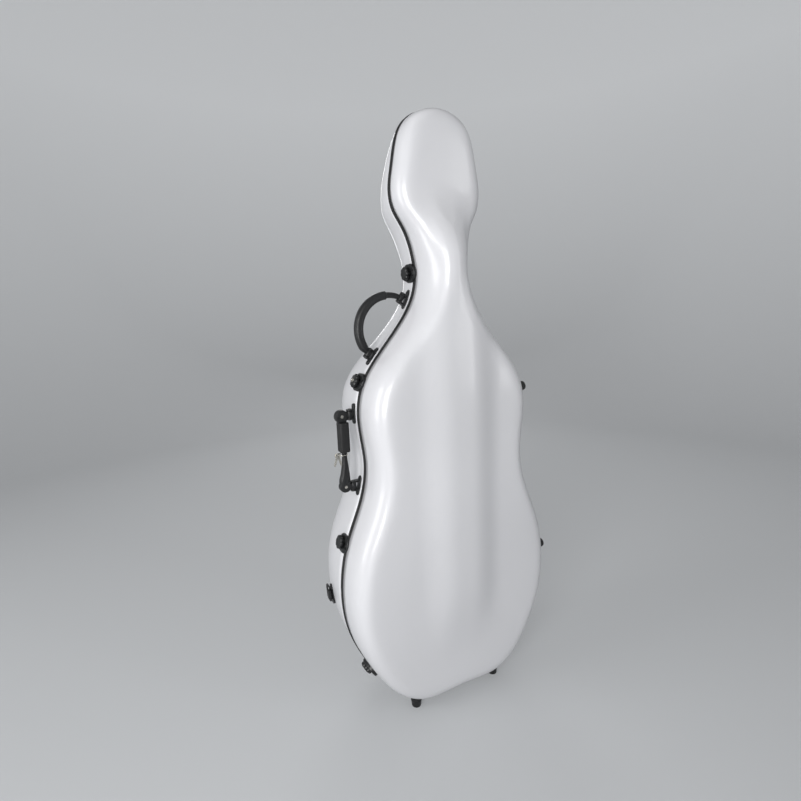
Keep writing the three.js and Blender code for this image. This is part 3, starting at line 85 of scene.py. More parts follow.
Row = Sequence[Sequence[float]]
Pairs = Sequence[tuple[float, float]]
Shape = bmesh.types.BMesh
Tree = bpy.types.NodeTree
Socket = bpy.types.NodeSocket


class Half(Enum):
    """The two halves of the case, each by the way it faces from the seam plane."""

    LID = -1
    BACK = 1

    @property
    def body(self) -> str:
        """Return the body that the half's fixed pieces ride on."""
        return self.name.lower()


class Side(Enum):
    """The two side walls: the latches and handles on the left, the hinges on the right."""

    LEFT = -1
    RIGHT = 1


class Ends(Enum):
    """How the first and last rows of a skin are finished."""

    OPEN = "open"
    CAPPED = "capped"
    LOOPED = "looped"


class Grain(Enum):
    """Surface patterns that the finishes carry."""

    ORANGE_PEEL = "orange peel"
    MOULDED = "moulded"
    BRUSHED = "brushed"
    PILE = "pile"
    WOVEN = "woven"


# Finishes


def linear(hex_colour: str) -> tuple[float, float, float, float]:
    """Turn an sRGB hex colour to linear.

    Args:
        hex_colour: Six hex digits, such as "e4e4e8".

    Returns:
        Linear red, green, blue and an alpha of one.
    """
    parts = [int(hex_colour[i : i + 2], 16) / 255 for i in (0, 2, 4)]
    red, green, blue = [p / 12.92 if p <= 0.04045 else ((p + 0.055) / 1.055) ** 2.4 for p in parts]
    return red, green, blue, 1.0


def add_node(
    tree: Tree, kind: str, settings: dict | None = None, links: dict | None = None
) -> bpy.types.Node:
    """Add one node with its settings and links.

    Args:
        tree: Node tree that gets the node.
        kind: Node type, such as "ShaderNodeTexNoise".
        settings: Values by input name or by property name.
        links: Sockets that feed the node, by input name.

    Returns:
        The new node.
    """
    node = tree.nodes.new(kind)
    for name, value in (settings or {}).items():
        if name in node.inputs:
            node.inputs[name].default_value = value
        else:
            setattr(node, name, value)
    for name, socket in (links or {}).items():
        tree.links.new(socket, node.inputs[name])
    return node


def noise_of(size_mm: float, detail: float) -> dict[str, float]:
    """Return the settings of a noise whose features have the given real size."""
    return {"Scale": 1 / (size_mm * METRES), "Detail": detail, "Roughness": 0.55}


@dataclass(frozen=True)
class Finish:
    """One real surface: what it is made of and the pattern that its making leaves."""

    name: str
    slot: str
    colour: str
    deep_colour: str
    roughness: float
    roughness_spread: float
    grain: Grain
    grain_mm: float
    relief_mm: float
    metallic: float = 0.0
    ior: float = 1.5
    coat: float = 0.0
    coat_roughness: float = 0.05
    sheen: float = 0.0
    mottle_mm: float = 90.0

    def material(self) -> bpy.types.Material:
        """Build the finish once and give it again on every later call.

        Returns:
            The finish as a Blender material.
        """
        known = bpy.data.materials.get(self.name)
        if known:
            return known
        made = bpy.data.materials.new(self.name)
        made.use_nodes = True
        tree = made.node_tree
        shader = tree.nodes["Principled BSDF"]
        constants = {
            "Metallic": self.metallic,
            "Coat Weight": self.coat,
            "Coat Roughness": self.coat_roughness,
            "Sheen Weight": self.sheen,
            "Sheen Roughness": 0.5,
        }
        if not self.metallic:
            constants["IOR"] = self.ior
        for name, value in constants.items():
            shader.inputs[name].default_value = value
        place = add_node(tree, "ShaderNodeTexCoord").outputs["Object"]
        height = self._height(tree, place)
        relief = {"Strength": 1.0, "Distance": self.relief_mm * METRES}
        feeds = {
            "Base Color": self._colour(tree, place, height),
            "Roughness": self._roughness(tree, place),
            "Normal": add_node(tree, "ShaderNodeBump", relief, {"Height": height}).outputs["Normal"],
        }
        for name, socket in feeds.items():
            tree.links.new(socket, shader.inputs[name])
        return made

    def _detail(self) -> float:
        """Return how broken up the slow marks are: a polished coat has none but broad ones."""
        return 0.0 if self.grain is Grain.ORANGE_PEEL else 3.0

    def _height(self, tree: Tree, place: Socket) -> Socket:
        """Make the height pattern of the finish's grain, from zero to one.

        Args:
            tree: Node tree of the material.
            place: Socket with the piece's own coordinates.

        Returns:
            Socket with the height.
        """
        if self.grain is Grain.WOVEN:
            scale = 1 / (self.grain_mm * METRES) * math.pi / 10
            threads = {"Scale": scale, "Distortion": 0.6, "wave_profile": "SIN"}
            waves = [
                add_node(tree, "ShaderNodeTexWave", {**threads, "bands_direction": way}, {"Vector": place})
                for way in ("Z", "X")
            ]
            crossed = {count: wave.outputs["Fac"] for count, wave in enumerate(waves)}
            return add_node(tree, "ShaderNodeMath", {"operation": "MULTIPLY"}, crossed).outputs["Value"]
        if self.grain is Grain.BRUSHED:
            drawn = add_node(tree, "ShaderNodeMapping", {"Scale": (1.0, 1.0, 0.06)}, {"Vector": place})
            place = drawn.outputs["Vector"]
        detail = {Grain.ORANGE_PEEL: 0.0, Grain.MOULDED: 3.0, Grain.PILE: 6.0, Grain.BRUSHED: 3.0}[self.grain]
        noise = noise_of(self.grain_mm, detail)
        return add_node(tree, "ShaderNodeTexNoise", noise, {"Vector": place}).outputs["Fac"]

    def _colour(self, tree: Tree, place: Socket, height: Socket) -> Socket:
        """Make the base colour, with slow mottling, and on cloth with the grain.

        Args:
            tree: Node tree of the material.
            place: Socket with the piece's own coordinates.
            height: Socket with the grain's height.

        Returns:
            Socket with the colour.
        """
        factor = height
        if self.grain not in (Grain.PILE, Grain.WOVEN):
            noise = noise_of(self.mottle_mm, self._detail())
            factor = add_node(tree, "ShaderNodeTexNoise", noise, {"Vector": place}).outputs["Fac"]
        ramp = add_node(tree, "ShaderNodeValToRGB", None, {"Fac": factor})
        ramp.color_ramp.interpolation = "EASE"
        for element, position, colour in zip(
            ramp.color_ramp.elements, (0.3, 0.7), (self.deep_colour, self.colour)
        ):
            element.position = position
            element.color = linear(colour)
        return ramp.outputs["Color"]

    def _roughness(self, tree: Tree, place: Socket) -> Socket:
        """Make the roughness, with handling marks a few centimetres across.

        Args:
            tree: Node tree of the material.
            place: Socket with the piece's own coordinates.

        Returns:
            Socket with the roughness.
        """
        noise = noise_of(self.mottle_mm / 3, self._detail())
        marks = add_node(tree, "ShaderNodeTexNoise", noise, {"Vector": place}).outputs["Fac"]
        low, high = self.roughness - self.roughness_spread, self.roughness + self.roughness_spread
        spread = {"From Min": 0.2, "From Max": 0.8, "To Min": low, "To Max": high}
        spread["interpolation_type"] = "SMOOTHSTEP"
        return add_node(tree, "ShaderNodeMapRange", spread, {"Value": marks}).outputs["Result"]


# Polyester gelcoat over glass fibre, polished out of the mould: deep gloss with a faint orange peel.
GELCOAT = Finish(
    "white_gelcoat", "shell_gloss", "e3e3e6", "dfdfe2", 0.3, 0.02, Grain.ORANGE_PEEL, 14.0, 0.012,
    ior=1.52, coat=0.4, coat_roughness=0.13, mottle_mm=260.0,
)
# Extruded rubber: black, dull, with the fine drag of the die.
RUBBER = Finish(
    "black_rubber", "rubber_black", "141415", "0e0e0f", 0.62, 0.08, Grain.MOULDED, 0.9, 0.05, ior=1.52,
)
# Soft moulded handle skin: matt black with a pebbled grain that the hand has polished.
HANDLE_SKIN = Finish(
    "pebbled_handle", "rubber_black", "18191b", "101011", 0.46, 0.1, Grain.MOULDED, 1.6, 0.12, ior=1.5,
    mottle_mm=45.0,
)
# Glass-filled nylon, injection moulded: satin black with a spark-eroded texture.
NYLON = Finish(
    "black_nylon", "moulded_black", "131416", "0d0e0f", 0.4, 0.07, Grain.MOULDED, 0.7, 0.03, ior=1.53,
    mottle_mm=40.0,
)
# Pressed steel under black enamel: smooth, slightly glossy, a little uneven from the dip.
ENAMEL_STEEL = Finish(
    "black_enamel_steel", "steel_black", "151517", "0f0f10", 0.3, 0.06, Grain.ORANGE_PEEL, 4.0, 0.015,
    coat=0.3, coat_roughness=0.15, mottle_mm=30.0,
)
# Nickel plated steel: bright, drawn along its length.
NICKEL = Finish(
    "bright_nickel", "steel_bright", "cfccc4", "bab7ae", 0.24, 0.06, Grain.BRUSHED, 0.5, 0.01, metallic=1.0,
    mottle_mm=12.0,
)
# Knitted plush: short pile that catches light at its edges.
PLUSH = Finish(
    "grey_plush", "plush_lining", "3a3d45", "23252b", 0.95, 0.04, Grain.PILE, 1.8, 0.7, sheen=0.7,
)
# Polyester webbing: ribbed weave, drawn at twice its real 1 mm pitch so that it shows.
WEBBING = Finish(
    "black_webbing", "webbing", "2b2c2f", "17181a", 0.85, 0.05, Grain.WOVEN, 2.0, 0.35, sheen=0.25,
)


# The case's form


def mirrored(half: np.ndarray) -> np.ndarray:
    """Close the right half of an outline with its mirror image on the left."""
    return np.vstack([half, half[-2:0:-1] * (-1, 1)])


@dataclass(frozen=True)
class CaseForm:
    """Outline of the case in the seam plane and depth of its skins, in millimetres from its foot."""

    stations: Pairs = (
        (0, 0), (112, 4), (261, 285), (190, 578), (200, 695), (49, 992), (104, 1157), (0, 1330),
    )
    between: Sequence[Pairs] = (
        (),
        ((0.35, 0.115), (0.648, 0.33), (0.91, 0.64)),
        ((0.3, 0.42), (0.81, 0.735)),
        ((0.65, 0.56),),
        ((0.08, 0.2), (0.36, 0.42), (0.71, 0.636), (0.94, 0.835)),
        ((0.1, 0.245), (0.49, 0.6), (0.87, 0.81)),
        ((0.07, 0.35), (0.35, 0.84)),
    )
    lid_depths: Pairs = ((0, 99), (695, 99), (992, 88), (1168, 52))
    back_depths: Pairs = (
        (0, 140), (285, 170), (578, 158), (695, 170), (992, 98), (1090, 106), (1180, 84), (1330, 34),
    )
    rib_reach: Pairs = ((861.3, 120), (1018.2, 52), (1215, 88))
    rib_fade: Pairs = ((70, 0), (328.95, 1), (1020.2, 1), (1215, 0))
    rib_rise: float = 17.0
    rib_flat: float = 0.1
    edge_round: float = 50.0
    lid_power: float = 3.3
    back_power: float = 2.8
    spine_low: float = 188.1
    spine_high: float = 1232.8
    steps_per_span: int = 20
    half_points: int = 210
    turn_weight: float = 60.0
    edge_rows: int = 20
    panel_rows: int = 26

    def knots(self) -> np.ndarray:
        """List the points of the right half that the outline passes through.

        Returns:
            The points, from the foot.
        """
        points: list[tuple[float, float]] = []
        for low, high, shares in zip(self.stations, self.stations[1:], self.between):
            points.append(low)
            points += [(low[0] + (high[0] - low[0]) * a, low[1] + (high[1] - low[1]) * b) for a, b in shares]
        points.append(self.stations[-1])
        return np.array(points, float)

    def fine_half(self) -> np.ndarray:
        """Pass one curve of steady curvature through the right half's points.

        Returns:
            A fine run of points on it.
        """
        half = self.knots()
        ring = mirrored(half)
        count = len(ring)
        steps = np.linalg.norm(np.roll(ring, -1, 0) - ring, axis=1)
        slopes = (np.roll(ring, -1, 0) - ring) / steps[:, None]
        system = np.zeros((count, count))
        target = np.zeros((count, 2))
        for i in range(count):
            before, after = steps[i - 1], steps[i]
            system[i, i] = 2 * (before + after)
            system[i, i - 1] = after
            system[i, (i + 1) % count] = before
            target[i] = 3 * after * slopes[i - 1] + 3 * before * slopes[i]
        tangents = np.linalg.solve(system, target)
        fine = [half[0]]
        for i in range(len(half) - 1):
            for k in range(1, self.steps_per_span + 1):
                t = k / self.steps_per_span
                rest = 1 - t
                fine.append(
                    ring[i] * (1 + 2 * t) * rest * rest
                    + ring[i + 1] * (3 - 2 * t) * t * t
                    + tangents[i] * steps[i] * t * rest * rest
                    - tangents[i + 1] * steps[i] * t * t * rest
                )
        return np.array(fine)

    def half_ring(self) -> np.ndarray:
        """Space the right half's points closer together where the outline turns.

        Returns:
            The points, from the foot.
        """
        fine = self.fine_half()
        legs = np.diff(fine, axis=0)
        angles = np.unwrap(np.arctan2(legs[:, 1], legs[:, 0]))
        turns = np.abs(np.diff(angles, prepend=angles[0]))
        run = np.concatenate([[0], np.cumsum(np.linalg.norm(legs, axis=1) + self.turn_weight * turns)])
        wanted = np.linspace(0, run[-1], self.half_points)
        return np.column_stack([np.interp(wanted, run, fine[:, k]) for k in (0, 1)])

    def ring(self) -> np.ndarray:
        """Return the whole outline, anticlockwise seen from the lid."""
        return mirrored(self.half_ring())

    def band(self, section: Pairs) -> list[np.ndarray]:
        """Run a cross-section round the outline.

        Args:
            section: Offsets out of the outline and distances behind the seam plane.

        Returns:
            One ring of points for each point of the section.
        """
        ring = self.ring()
        along = np.roll(ring, -1, 0) - np.roll(ring, 1, 0)
        along /= np.linalg.norm(along, axis=1)[:, None]
        out = np.column_stack([along[:, 1], -along[:, 0]])
        rows = []
        for offset, behind in section:
            points = ring + out * offset
            rows.append(np.column_stack([points[:, 0], np.full(len(ring), behind), points[:, 1]]))
        return rows

    def distance(self, points: np.ndarray) -> np.ndarray:
        """Distance of points to the outline, eased where two walls are equally near.

        Args:
            points: Points inside the outline, one per row.

        Returns:
            One distance per point.
        """
        walls = mirrored(self.fine_half())
        ends = np.roll(walls, -1, 0)
        lengths = np.linalg.norm(ends - walls, axis=1)
        along = (ends - walls) / lengths[:, None]
        found = []
        for part in np.array_split(points, max(1, len(points) // 2000)):
            gap = part[:, None, :] - walls[None]
            run = (gap * along[None]).sum(2)
            square = (gap[..., 0] * along[None, :, 1] - gap[..., 1] * along[None, :, 0]) ** 2
            away = np.maximum(square, 1e-12)
            ahead = (lengths - run) / np.sqrt((lengths - run) ** 2 + away)
            behind = run / np.sqrt(run**2 + away)
            found.append(1 / np.sqrt(((ahead + behind) / (2 * away)).sum(1)))
        return np.concatenate(found)

    @staticmethod
    def eased(share: np.ndarray) -> np.ndarray:
        """Rise from zero to one with no kink at either end."""
        return share**3 * (share * (share * 6 - 15) + 10)

    def profile(self, stations: Pairs, heights: np.ndarray) -> np.ndarray:
        """Pass smoothly through a value at each height.

        Args:
            stations: Pairs of height and value, from the lowest.
            heights: Heights to read.

        Returns:
            One value per height.
        """
        places, values = np.array(stations, float).T
        at = np.clip(np.searchsorted(places, heights) - 1, 0, len(places) - 2)
        share = np.clip((heights - places[at]) / (places[at + 1] - places[at]), 0, 1)
        return values[at] + (values[at + 1] - values[at]) * self.eased(share)

    def rib(self, across: np.ndarray, heights: np.ndarray) -> np.ndarray:
        """Measure how far the lid's middle rib stands out of the panel.

        Args:
            across: Distances from the middle line.
            heights: Heights over the outline's foot.

        Returns:
            One rise per point.
        """
        reach = self.profile(self.rib_reach, heights)
        share = np.clip((np.abs(across) / reach - self.rib_flat) / (1 - self.rib_flat), 0, 1)
        return self.rib_rise * self.profile(self.rib_fade, heights) * (1 - self.eased(share))

    def power(self, half: Half) -> float:
        """Return how square a half's edge is in section."""
        return self.lid_power if half is Half.LID else self.back_power

    def depth(self, half: Half, inset: float, points: np.ndarray, distance: np.ndarray) -> np.ndarray:
        """Depth of a skin below the seam plane.

        Args:
            half: Which half of the case.
            inset: How far the skin lies inside the outer surface.
            points: Points in the seam plane.
            distance: Their distances to the outline.

        Returns:
            One depth per point.
        """
        share = np.clip((distance - inset) / (self.edge_round - inset), 0, 1)
        power = self.power(half)
        rounding = (1 - (1 - share) ** power) ** (1 / power)
        depths = self.lid_depths if half is Half.LID else self.back_depths
        full = self.profile(depths, points[:, 1]) - inset
        if half is Half.LID:
            full = full + self.rib(points[:, 0], points[:, 1])
        return full * rounding

    def at(self, height: float) -> np.ndarray:
        """Return the outline's point on the right at a height."""
        fine = self.fine_half()
        return np.array([np.interp(height, fine[:, 1], fine[:, 0]), height])


@dataclass
class CaseFrame:
    """Places in the case: the form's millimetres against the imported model's metres."""

    form: CaseForm = field(default_factory=CaseForm)
    rim_proud: float = 1.8
    foot_dip: float = 0.9
    shift: Vector = field(init=False)
    joints: dict[str, dict] = field(init=False)

    def __post_init__(self) -> None:
        """Read the seam plane, the middle and the foot of the outline off the lid's rim."""
        low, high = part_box("lid_rim")
        foot = low.z + (self.rim_proud + self.foot_dip) * METRES
        self.shift = Vector(((low.x + high.x) / 2, high.y, foot))
        self.joints = {}

    def take_joints(self, joints: Iterable[dict]) -> None:
        """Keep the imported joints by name."""
        self.joints = {joint["name"]: joint for joint in joints}

    def to_row(self) -> Matrix:
        """Return the matrix from the form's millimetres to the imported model's metres."""
        return Matrix.Translation(self.shift) @ TO_METRES

    @staticmethod
    def framed(out: Vector, up: Vector, origin: Vector) -> Matrix:
        """Frame whose X points out of a wall and Z along it.

        Args:
            out: Direction out of the wall.
            up: Direction along the wall.
            origin: The frame's origin in metres.

        Returns:
            Matrix from local millimetres to metres.
        """
        out, up = out.normalized(), up.normalized()
        across = up.cross(out)
        turn = Matrix((out, across, up)).transposed().to_4x4()
        return Matrix.Translation(origin) @ turn @ TO_METRES

    def wall(self, side: Side, height: float, depth: float, span: float = 24.0) -> Matrix:
        """Frame that rests on the side wall.

        Args:
            side: Which wall.
            height: Height of its origin over the outline's foot.
            depth: Distance from the seam plane, towards the back.
            span: Length of wall that the frame's direction is read over.

        Returns:
            Matrix from local millimetres to metres.
        """
        rise = self.form.at(height + span / 2) - self.form.at(height - span / 2)
        rise /= np.linalg.norm(rise)
        at = self.form.at(height)
        out = Vector((side.value * rise[1], 0, -rise[0]))
        up = Vector((side.value * rise[0], 0, rise[1]))
        origin = self.to_row() @ Vector((side.value * at[0], depth, at[1]))
        return self.framed(out, up, origin)

    def latch(self, name: str) -> Matrix:
        """Frame of a latch: its origin on the seam, X out of the wall and Y towards the lid.

        Args:
            name: The latch's name.

        Returns:
            Matrix from local millimetres to metres.
        """
        turn, draw = self.joints[f"{name}_latch_turn"], self.joints[f"{name}_latch_draw"]
        out, across = Vector(turn["axis"]), Vector(draw["axis"])
        origin = Vector(turn["pos_m"]) - out * LATCH_HEIGHT * METRES + across * LATCH_OFFSET * METRES
        return self.framed(out, out.cross(across), origin)

    def chord(self, joint: str) -> Matrix:
        """Frame of a handle: Z along the line that it swings about and X out of the wall."""
        up = Vector(self.joints[joint]["axis"])
        return self.framed(up.cross(Vector((0, 1, 0))), up, Vector(self.joints[joint]["pos_m"]))


# Shapes, in millimetres


def skin(rows: Sequence[Row], ends: Ends) -> Shape:
    """Join rings of points into a skin by extruding one ring through all the rows.

    Args:
        rows: Rings of points, all of one length.
        ends: How the first and last rings are finished.

    Returns:
        The skin.
    """
    bm = bmesh.new()
    ring = bmesh.ops.create_circle(bm, cap_ends=False, radius=1, segments=len(rows[0]))["verts"]
    for vert, point in zip(ring, rows[0]):
        vert.co = point
    first = [bm.edges.get((a, b)) for a, b in zip(ring, ring[1:] + ring[:1])]
    edges = first
    for row in rows[1:]:
        made = set(bmesh.ops.extrude_edge_only(bm, edges=edges)["geom"])
        ring = [next(e.other_vert(v) for e in v.link_edges if e.other_vert(v) in made) for v in ring]
        for vert, point in zip(ring, row):
            vert.co = point
        edges = [bm.edges.get((a, b)) for a, b in zip(ring, ring[1:] + ring[:1])]
    if ends is Ends.CAPPED:
        bmesh.ops.edgeloop_fill(bm, edges=first)
        bmesh.ops.edgeloop_fill(bm, edges=edges)
    elif ends is Ends.LOOPED:
        bmesh.ops.bridge_loops(bm, edges=first + edges)
    return bm


def plate(points: Row, bottom: float, top: float, edge: float = 1.0, under: float = 0.0) -> Shape:
    """Make a flat plate with rounded edges.

    Args:
        points: Outline in the plate's plane.
        bottom: Height of its underside.
        top: Height of its upper face.
        edge: Rounding of the upper edge.
        under: Rounding of the lower edge.

    Returns:
        The plate, its thickness along Z.
    """
    bm = bmesh.new()
    ring = bmesh.ops.create_circle(bm, cap_ends=True, radius=1, segments=len(points))["verts"]
    for vert, point in zip(ring, points):
        vert.co = (point[0], point[1], bottom)
    made = bmesh.ops.extrude_face_region(bm, geom=list(bm.faces))["geom"]
    raised = [g for g in made if isinstance(g, bmesh.types.BMVert)]
    bmesh.ops.translate(bm, vec=(0, 0, top - bottom), verts=raised)
    for height, rounding in ((top, edge), (bottom, under)):
        if rounding:
            loop = [e for e in bm.edges if all(abs(v.co.z - height) < 1e-4 for v in e.verts)]
            bmesh.ops.bevel(
                bm, geom=loop, offset=rounding, segments=4, profile=0.5, affect="EDGES", material=-1
            )
    return bm


def turned(profile: Pairs, steps: int = 48) -> Shape:
    """Turn a profile round Z.

    Args:
        profile: Pairs of radius and height.
        steps: Number of facets round.

    Returns:
        The turned shape.
    """
    bm = bmesh.new()
    verts = [bm.verts.new((radius, 0, height)) for radius, height in profile]
    edges = [bm.edges.new(pair) for pair in zip(verts, verts[1:])]
    bmesh.ops.spin(
        bm, geom=verts + edges, cent=(0, 0, 0), axis=(0, 0, 1), angle=WHOLE_TURN, steps=steps, use_merge=True
    )
    bmesh.ops.remove_doubles(bm, verts=bm.verts, dist=1e-4)
    return bm


def button(radius: float, bottom: float, top: float, edge: float, steps: int = 32) -> Shape:
    """Make a round button or pin that stands along Z, with a rounded upper edge.

    Args:
        radius: Its radius.
        bottom: Height of its underside.
        top: Height of its upper face.
        edge: Rounding of its upper edge.
        steps: Number of facets round.

    Returns:
        The button.
    """
    angles = np.linspace(0, QUARTER_TURN, 5)
    bend = [(radius - edge + edge * math.cos(a), top - edge + edge * math.sin(a)) for a in angles]
    return turned([(0, bottom), (radius, bottom), *bend, (0, top)], steps)


def tube(half: float, radius: float, bore: float, corner: Pairs, steps: int, rim: float = 0.0) -> Shape:
    """Make a tube along Z, the same at both ends.

    Args:
        half: Half its length.
        radius: Its outer radius.
        bore: Radius of its hole.
        corner: Its softened outer edge, as insets from the radius and from the end.
        steps: Number of facets round.
        rim: Chamfer of the hole's edge, or nothing for none.

    Returns:
        The tube.
    """
    hole = [(bore + rim, half), (bore, half - rim)] if rim else [(bore, half)]
    upper = [(radius - inset, half - drop) for inset, drop in corner] + hole
    lower = [(reach, -z) for reach, z in reversed(upper)]
    return turned([*lower, *upper, lower[0]], steps)


def round_outline(radius: Callable[[float], float], count: int) -> Row:
    """Return an outline whose radius follows the angle."""
    angles = [WHOLE_TURN * k / count for k in range(count)]
    return [(radius(a) * math.cos(a), radius(a) * math.sin(a)) for a in angles]


def slot_outline(length: float, width: float, middle: float = 0, count: int = 40) -> Row:
    """Outline a straight bar with round ends, its length along the second axis.

    Args:
        length: Its length.
        width: Its width.
        middle: Its middle on the second axis.
        count: Number of points.

    Returns:
        The outline.
    """
    half, end = (length - width) / 2, width / 2
    turns = [WHOLE_TURN * (k + 0.5) / count for k in range(count)]
    return [(end * math.cos(t), middle + end * math.sin(t) + math.copysign(half, math.sin(t))) for t in turns]


def oval(width: float, depth: float, power: float = 2.6, count: int = 28) -> Row:
    """Outline a cross-section between an ellipse and a rectangle.

    Args:
        width: Its width.
        depth: Its depth.
        power: Two for an ellipse, and more for squarer corners.
        count: Number of points.

    Returns:
        The outline.
    """
    points = []
    for k in range(count):
        angle = WHOLE_TURN * k / count
        c, s = math.cos(angle), math.sin(angle)
        grow = (abs(c) ** power + abs(s) ** power) ** (-1 / power)
        points.append((width / 2 * c * grow, depth / 2 * s * grow))
    return points


def circle(radius: float, x: float = 0, y: float = 0, count: int = 12) -> list[tuple[float, float]]:
    """Return points round a circle."""
    angles = np.linspace(0, WHOLE_TURN, count + 1)[:-1]
    return [(x + radius * math.cos(a), y + radius * math.sin(a)) for a in angles]


def moved(bm: Shape, matrix: Matrix) -> Shape:
    """Move a shape and return it."""
    bmesh.ops.transform(bm, matrix=matrix, verts=bm.verts)
    return bm


def shifted(bm: Shape, x: float = 0, y: float = 0, z: float = 0) -> Shape:
    """Move a shape along the axes and return it."""
    return moved(bm, Matrix.Translation((x, y, z)))


def as_mesh(name: str, bm: Shape) -> bpy.types.Mesh:
    """Store a shape as a mesh and free it.

    Args:
        name: The mesh's name.
        bm: The shape.

    Returns:
        The new mesh.
    """
    mesh = bpy.data.meshes.new(name)
    bm.to_mesh(mesh)
    bm.free()
    return mesh


def linked(name: str, data: bpy.types.ID) -> bpy.types.Object:
    """Put an object in the scene.

    Args:
        name: The object's name.
        data: Its mesh, lamp or camera.

    Returns:
        The new object.
    """
    made = bpy.data.objects.new(name, data)
    bpy.context.scene.collection.objects.link(made)
    return made


def dropped(thing: bpy.types.Object) -> None:
    """Remove an object and its mesh.

    Args:
        thing: The object.
    """
    mesh = thing.data
    bpy.data.objects.remove(thing)
    bpy.data.meshes.remove(mesh)


def welded(*shapes: Shape) -> Shape:
    """Gather several shapes in one.

    Args:
        shapes: The shapes, which are used up.

    Returns:
        All of them as one shape.
    """
    whole = bmesh.new()
    for shape in shapes:
        part = as_mesh("part", shape)
        whole.from_mesh(part)
        bpy.data.meshes.remove(part)
    return whole


def screw(radius: float) -> Shape:
    """Make a pan head screw with a socket, standing on its plate's face.

    Args:
        radius: Radius of its head.

    Returns:
        The screw's head.
    """
    socket = radius * 0.42
    dome = [(radius * math.cos(a), 0.1 + radius * 0.45 * math.sin(a)) for a in np.linspace(0, 1.05, 7)]
    top = dome[-1][1]
    floor = top - 1.1
    return turned([(0, -1.0), (radius, -1.0), *dome, (socket, top), (socket * 0.9, floor), (0, floor)], 28)


def screwed_plate(
    length: float, width: float, bottom: float, top: float, edge: float, head: float, inset: float
) -> Shape:
    """Make a round-ended plate for a wall, with a screw near each end.

    Args:
        length: Its length along the wall.
        width: Its width.
        bottom: Height of its underside over the wall.
        top: Height of its face.
        edge: Rounding of its face's edge.
        head: Radius of the screw heads.
        inset: Distance of the screws from the plate's ends.

    Returns:
        The plate, its face towards X.
    """
    shapes = [plate(slot_outline(length, width), bottom, top, edge)]
    spread = length / 2 - inset
    shapes += [shifted(screw(head), 0, y, top) for y in (-spread, spread)]
    return moved(welded(*shapes), PLATE_TO_WALL)


def finished(
    name: str,
    bm: Shape,
    place: Matrix,
    body: str,
    finish: Finish,
    nodes: Sequence[str] = (),
    sharp: float = 32.0,
) -> bpy.types.Object:
    """Turn a shape into a piece that rides on the case.

    Args:
        name: The piece's name.
        bm: Its shape, in local millimetres.
        place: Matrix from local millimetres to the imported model's metres.
        body: Body that it rides on.
        finish: Its surface.
        nodes: CAD nodes that it stands for.
        sharp: Angle in degrees above which an edge stays sharp.

    Returns:
        The new object, at the origin.
    """
    bmesh.ops.remove_doubles(bm, verts=bm.verts, dist=1e-3)
    moved(bm, place)
    bmesh.ops.recalc_face_normals(bm, faces=bm.faces)
    mesh = as_mesh(name, bm)
    mesh.shade_smooth()
    mesh.set_sharp_from_angle(angle=math.radians(sharp))
    mesh.materials.append(finish.material())
    piece = linked(name, mesh)
    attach(piece, body)
    if nodes:
        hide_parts(*nodes)
    LOG.info("%s: %d faces on %s", name, len(mesh.polygons), body)
    return piece


def copied(node: str) -> Shape:
    """Copy a CAD node's mesh, merged, in metres.

    Args:
        node: The CAD node.

    Returns:
        The copy.
    """
    bm = bmesh.new()
    bm.from_mesh(bpy.data.objects[node].data)
    bmesh.ops.remove_doubles(bm, verts=bm.verts, dist=1e-6)
    bmesh.ops.dissolve_limit(bm, angle_limit=math.radians(1), verts=bm.verts, edges=bm.edges)
    return bm


def softened(node: str, name: str, body: str, finish: Finish, edge: float) -> bpy.types.Object:
    """Stand in for a CAD node with the same form and rounded edges.

    Args:
        node: The CAD node.
        name: The piece's name.
        body: Body that it rides on.
        finish: Its surface.
        edge: Rounding of its edges in millimetres.

    Returns:
        The new object.
    """
    bm = copied(node)
    corners = [e for e in bm.edges if e.is_manifold and e.calc_face_angle(0) > math.radians(38)]
    bmesh.ops.bevel(
        bm, geom=corners, offset=edge * METRES, segments=3, profile=0.5, affect="EDGES", material=-1,
        clamp_overlap=True,
    )
    return finished(name, moved(bm, TO_MILLIMETRES), TO_METRES, body, finish, [node])


def cut(bm: Shape, tool: Shape) -> Shape:
    """Cut one closed shape out of another.

    Args:
        bm: The shape that is cut.
        tool: The shape that is taken away.

    Returns:
        What is left.
    """
    objects = []
    for shape in (bm, tool):
        bmesh.ops.recalc_face_normals(shape, faces=shape.faces)
        objects.append(linked("cutting", as_mesh("cutting", shape)))
    stock, cutter = objects
    modifier = stock.modifiers.new("cut", "BOOLEAN")
    modifier.operation = "DIFFERENCE"
    modifier.solver = "EXACT"
    modifier.object = cutter
    bpy.context.view_layer.update()
    left = bmesh.new()
    left.from_object(stock, bpy.context.evaluated_depsgraph_get())
    for thing in objects:
        dropped(thing)
    return left


def hulled(*shapes: Shape) -> Shape:
    """Wrap several shapes in one tight skin.

    Args:
        shapes: The shapes, which are used up.

    Returns:
        The skin.
    """
    whole = welded(*shapes)
    found = bmesh.ops.convex_hull(whole, input=whole.verts)
    spare = [g for g in found["geom_interior"] + found["geom_unused"] if isinstance(g, bmesh.types.BMVert)]
    bmesh.ops.delete(whole, geom=list(set(spare)), context="VERTS")
    hull = {g for g in found["geom"] if g.is_valid}
    rest = [f for f in whole.faces if f not in hull]
    bmesh.ops.delete(whole, geom=rest, context="FACES")
    return whole


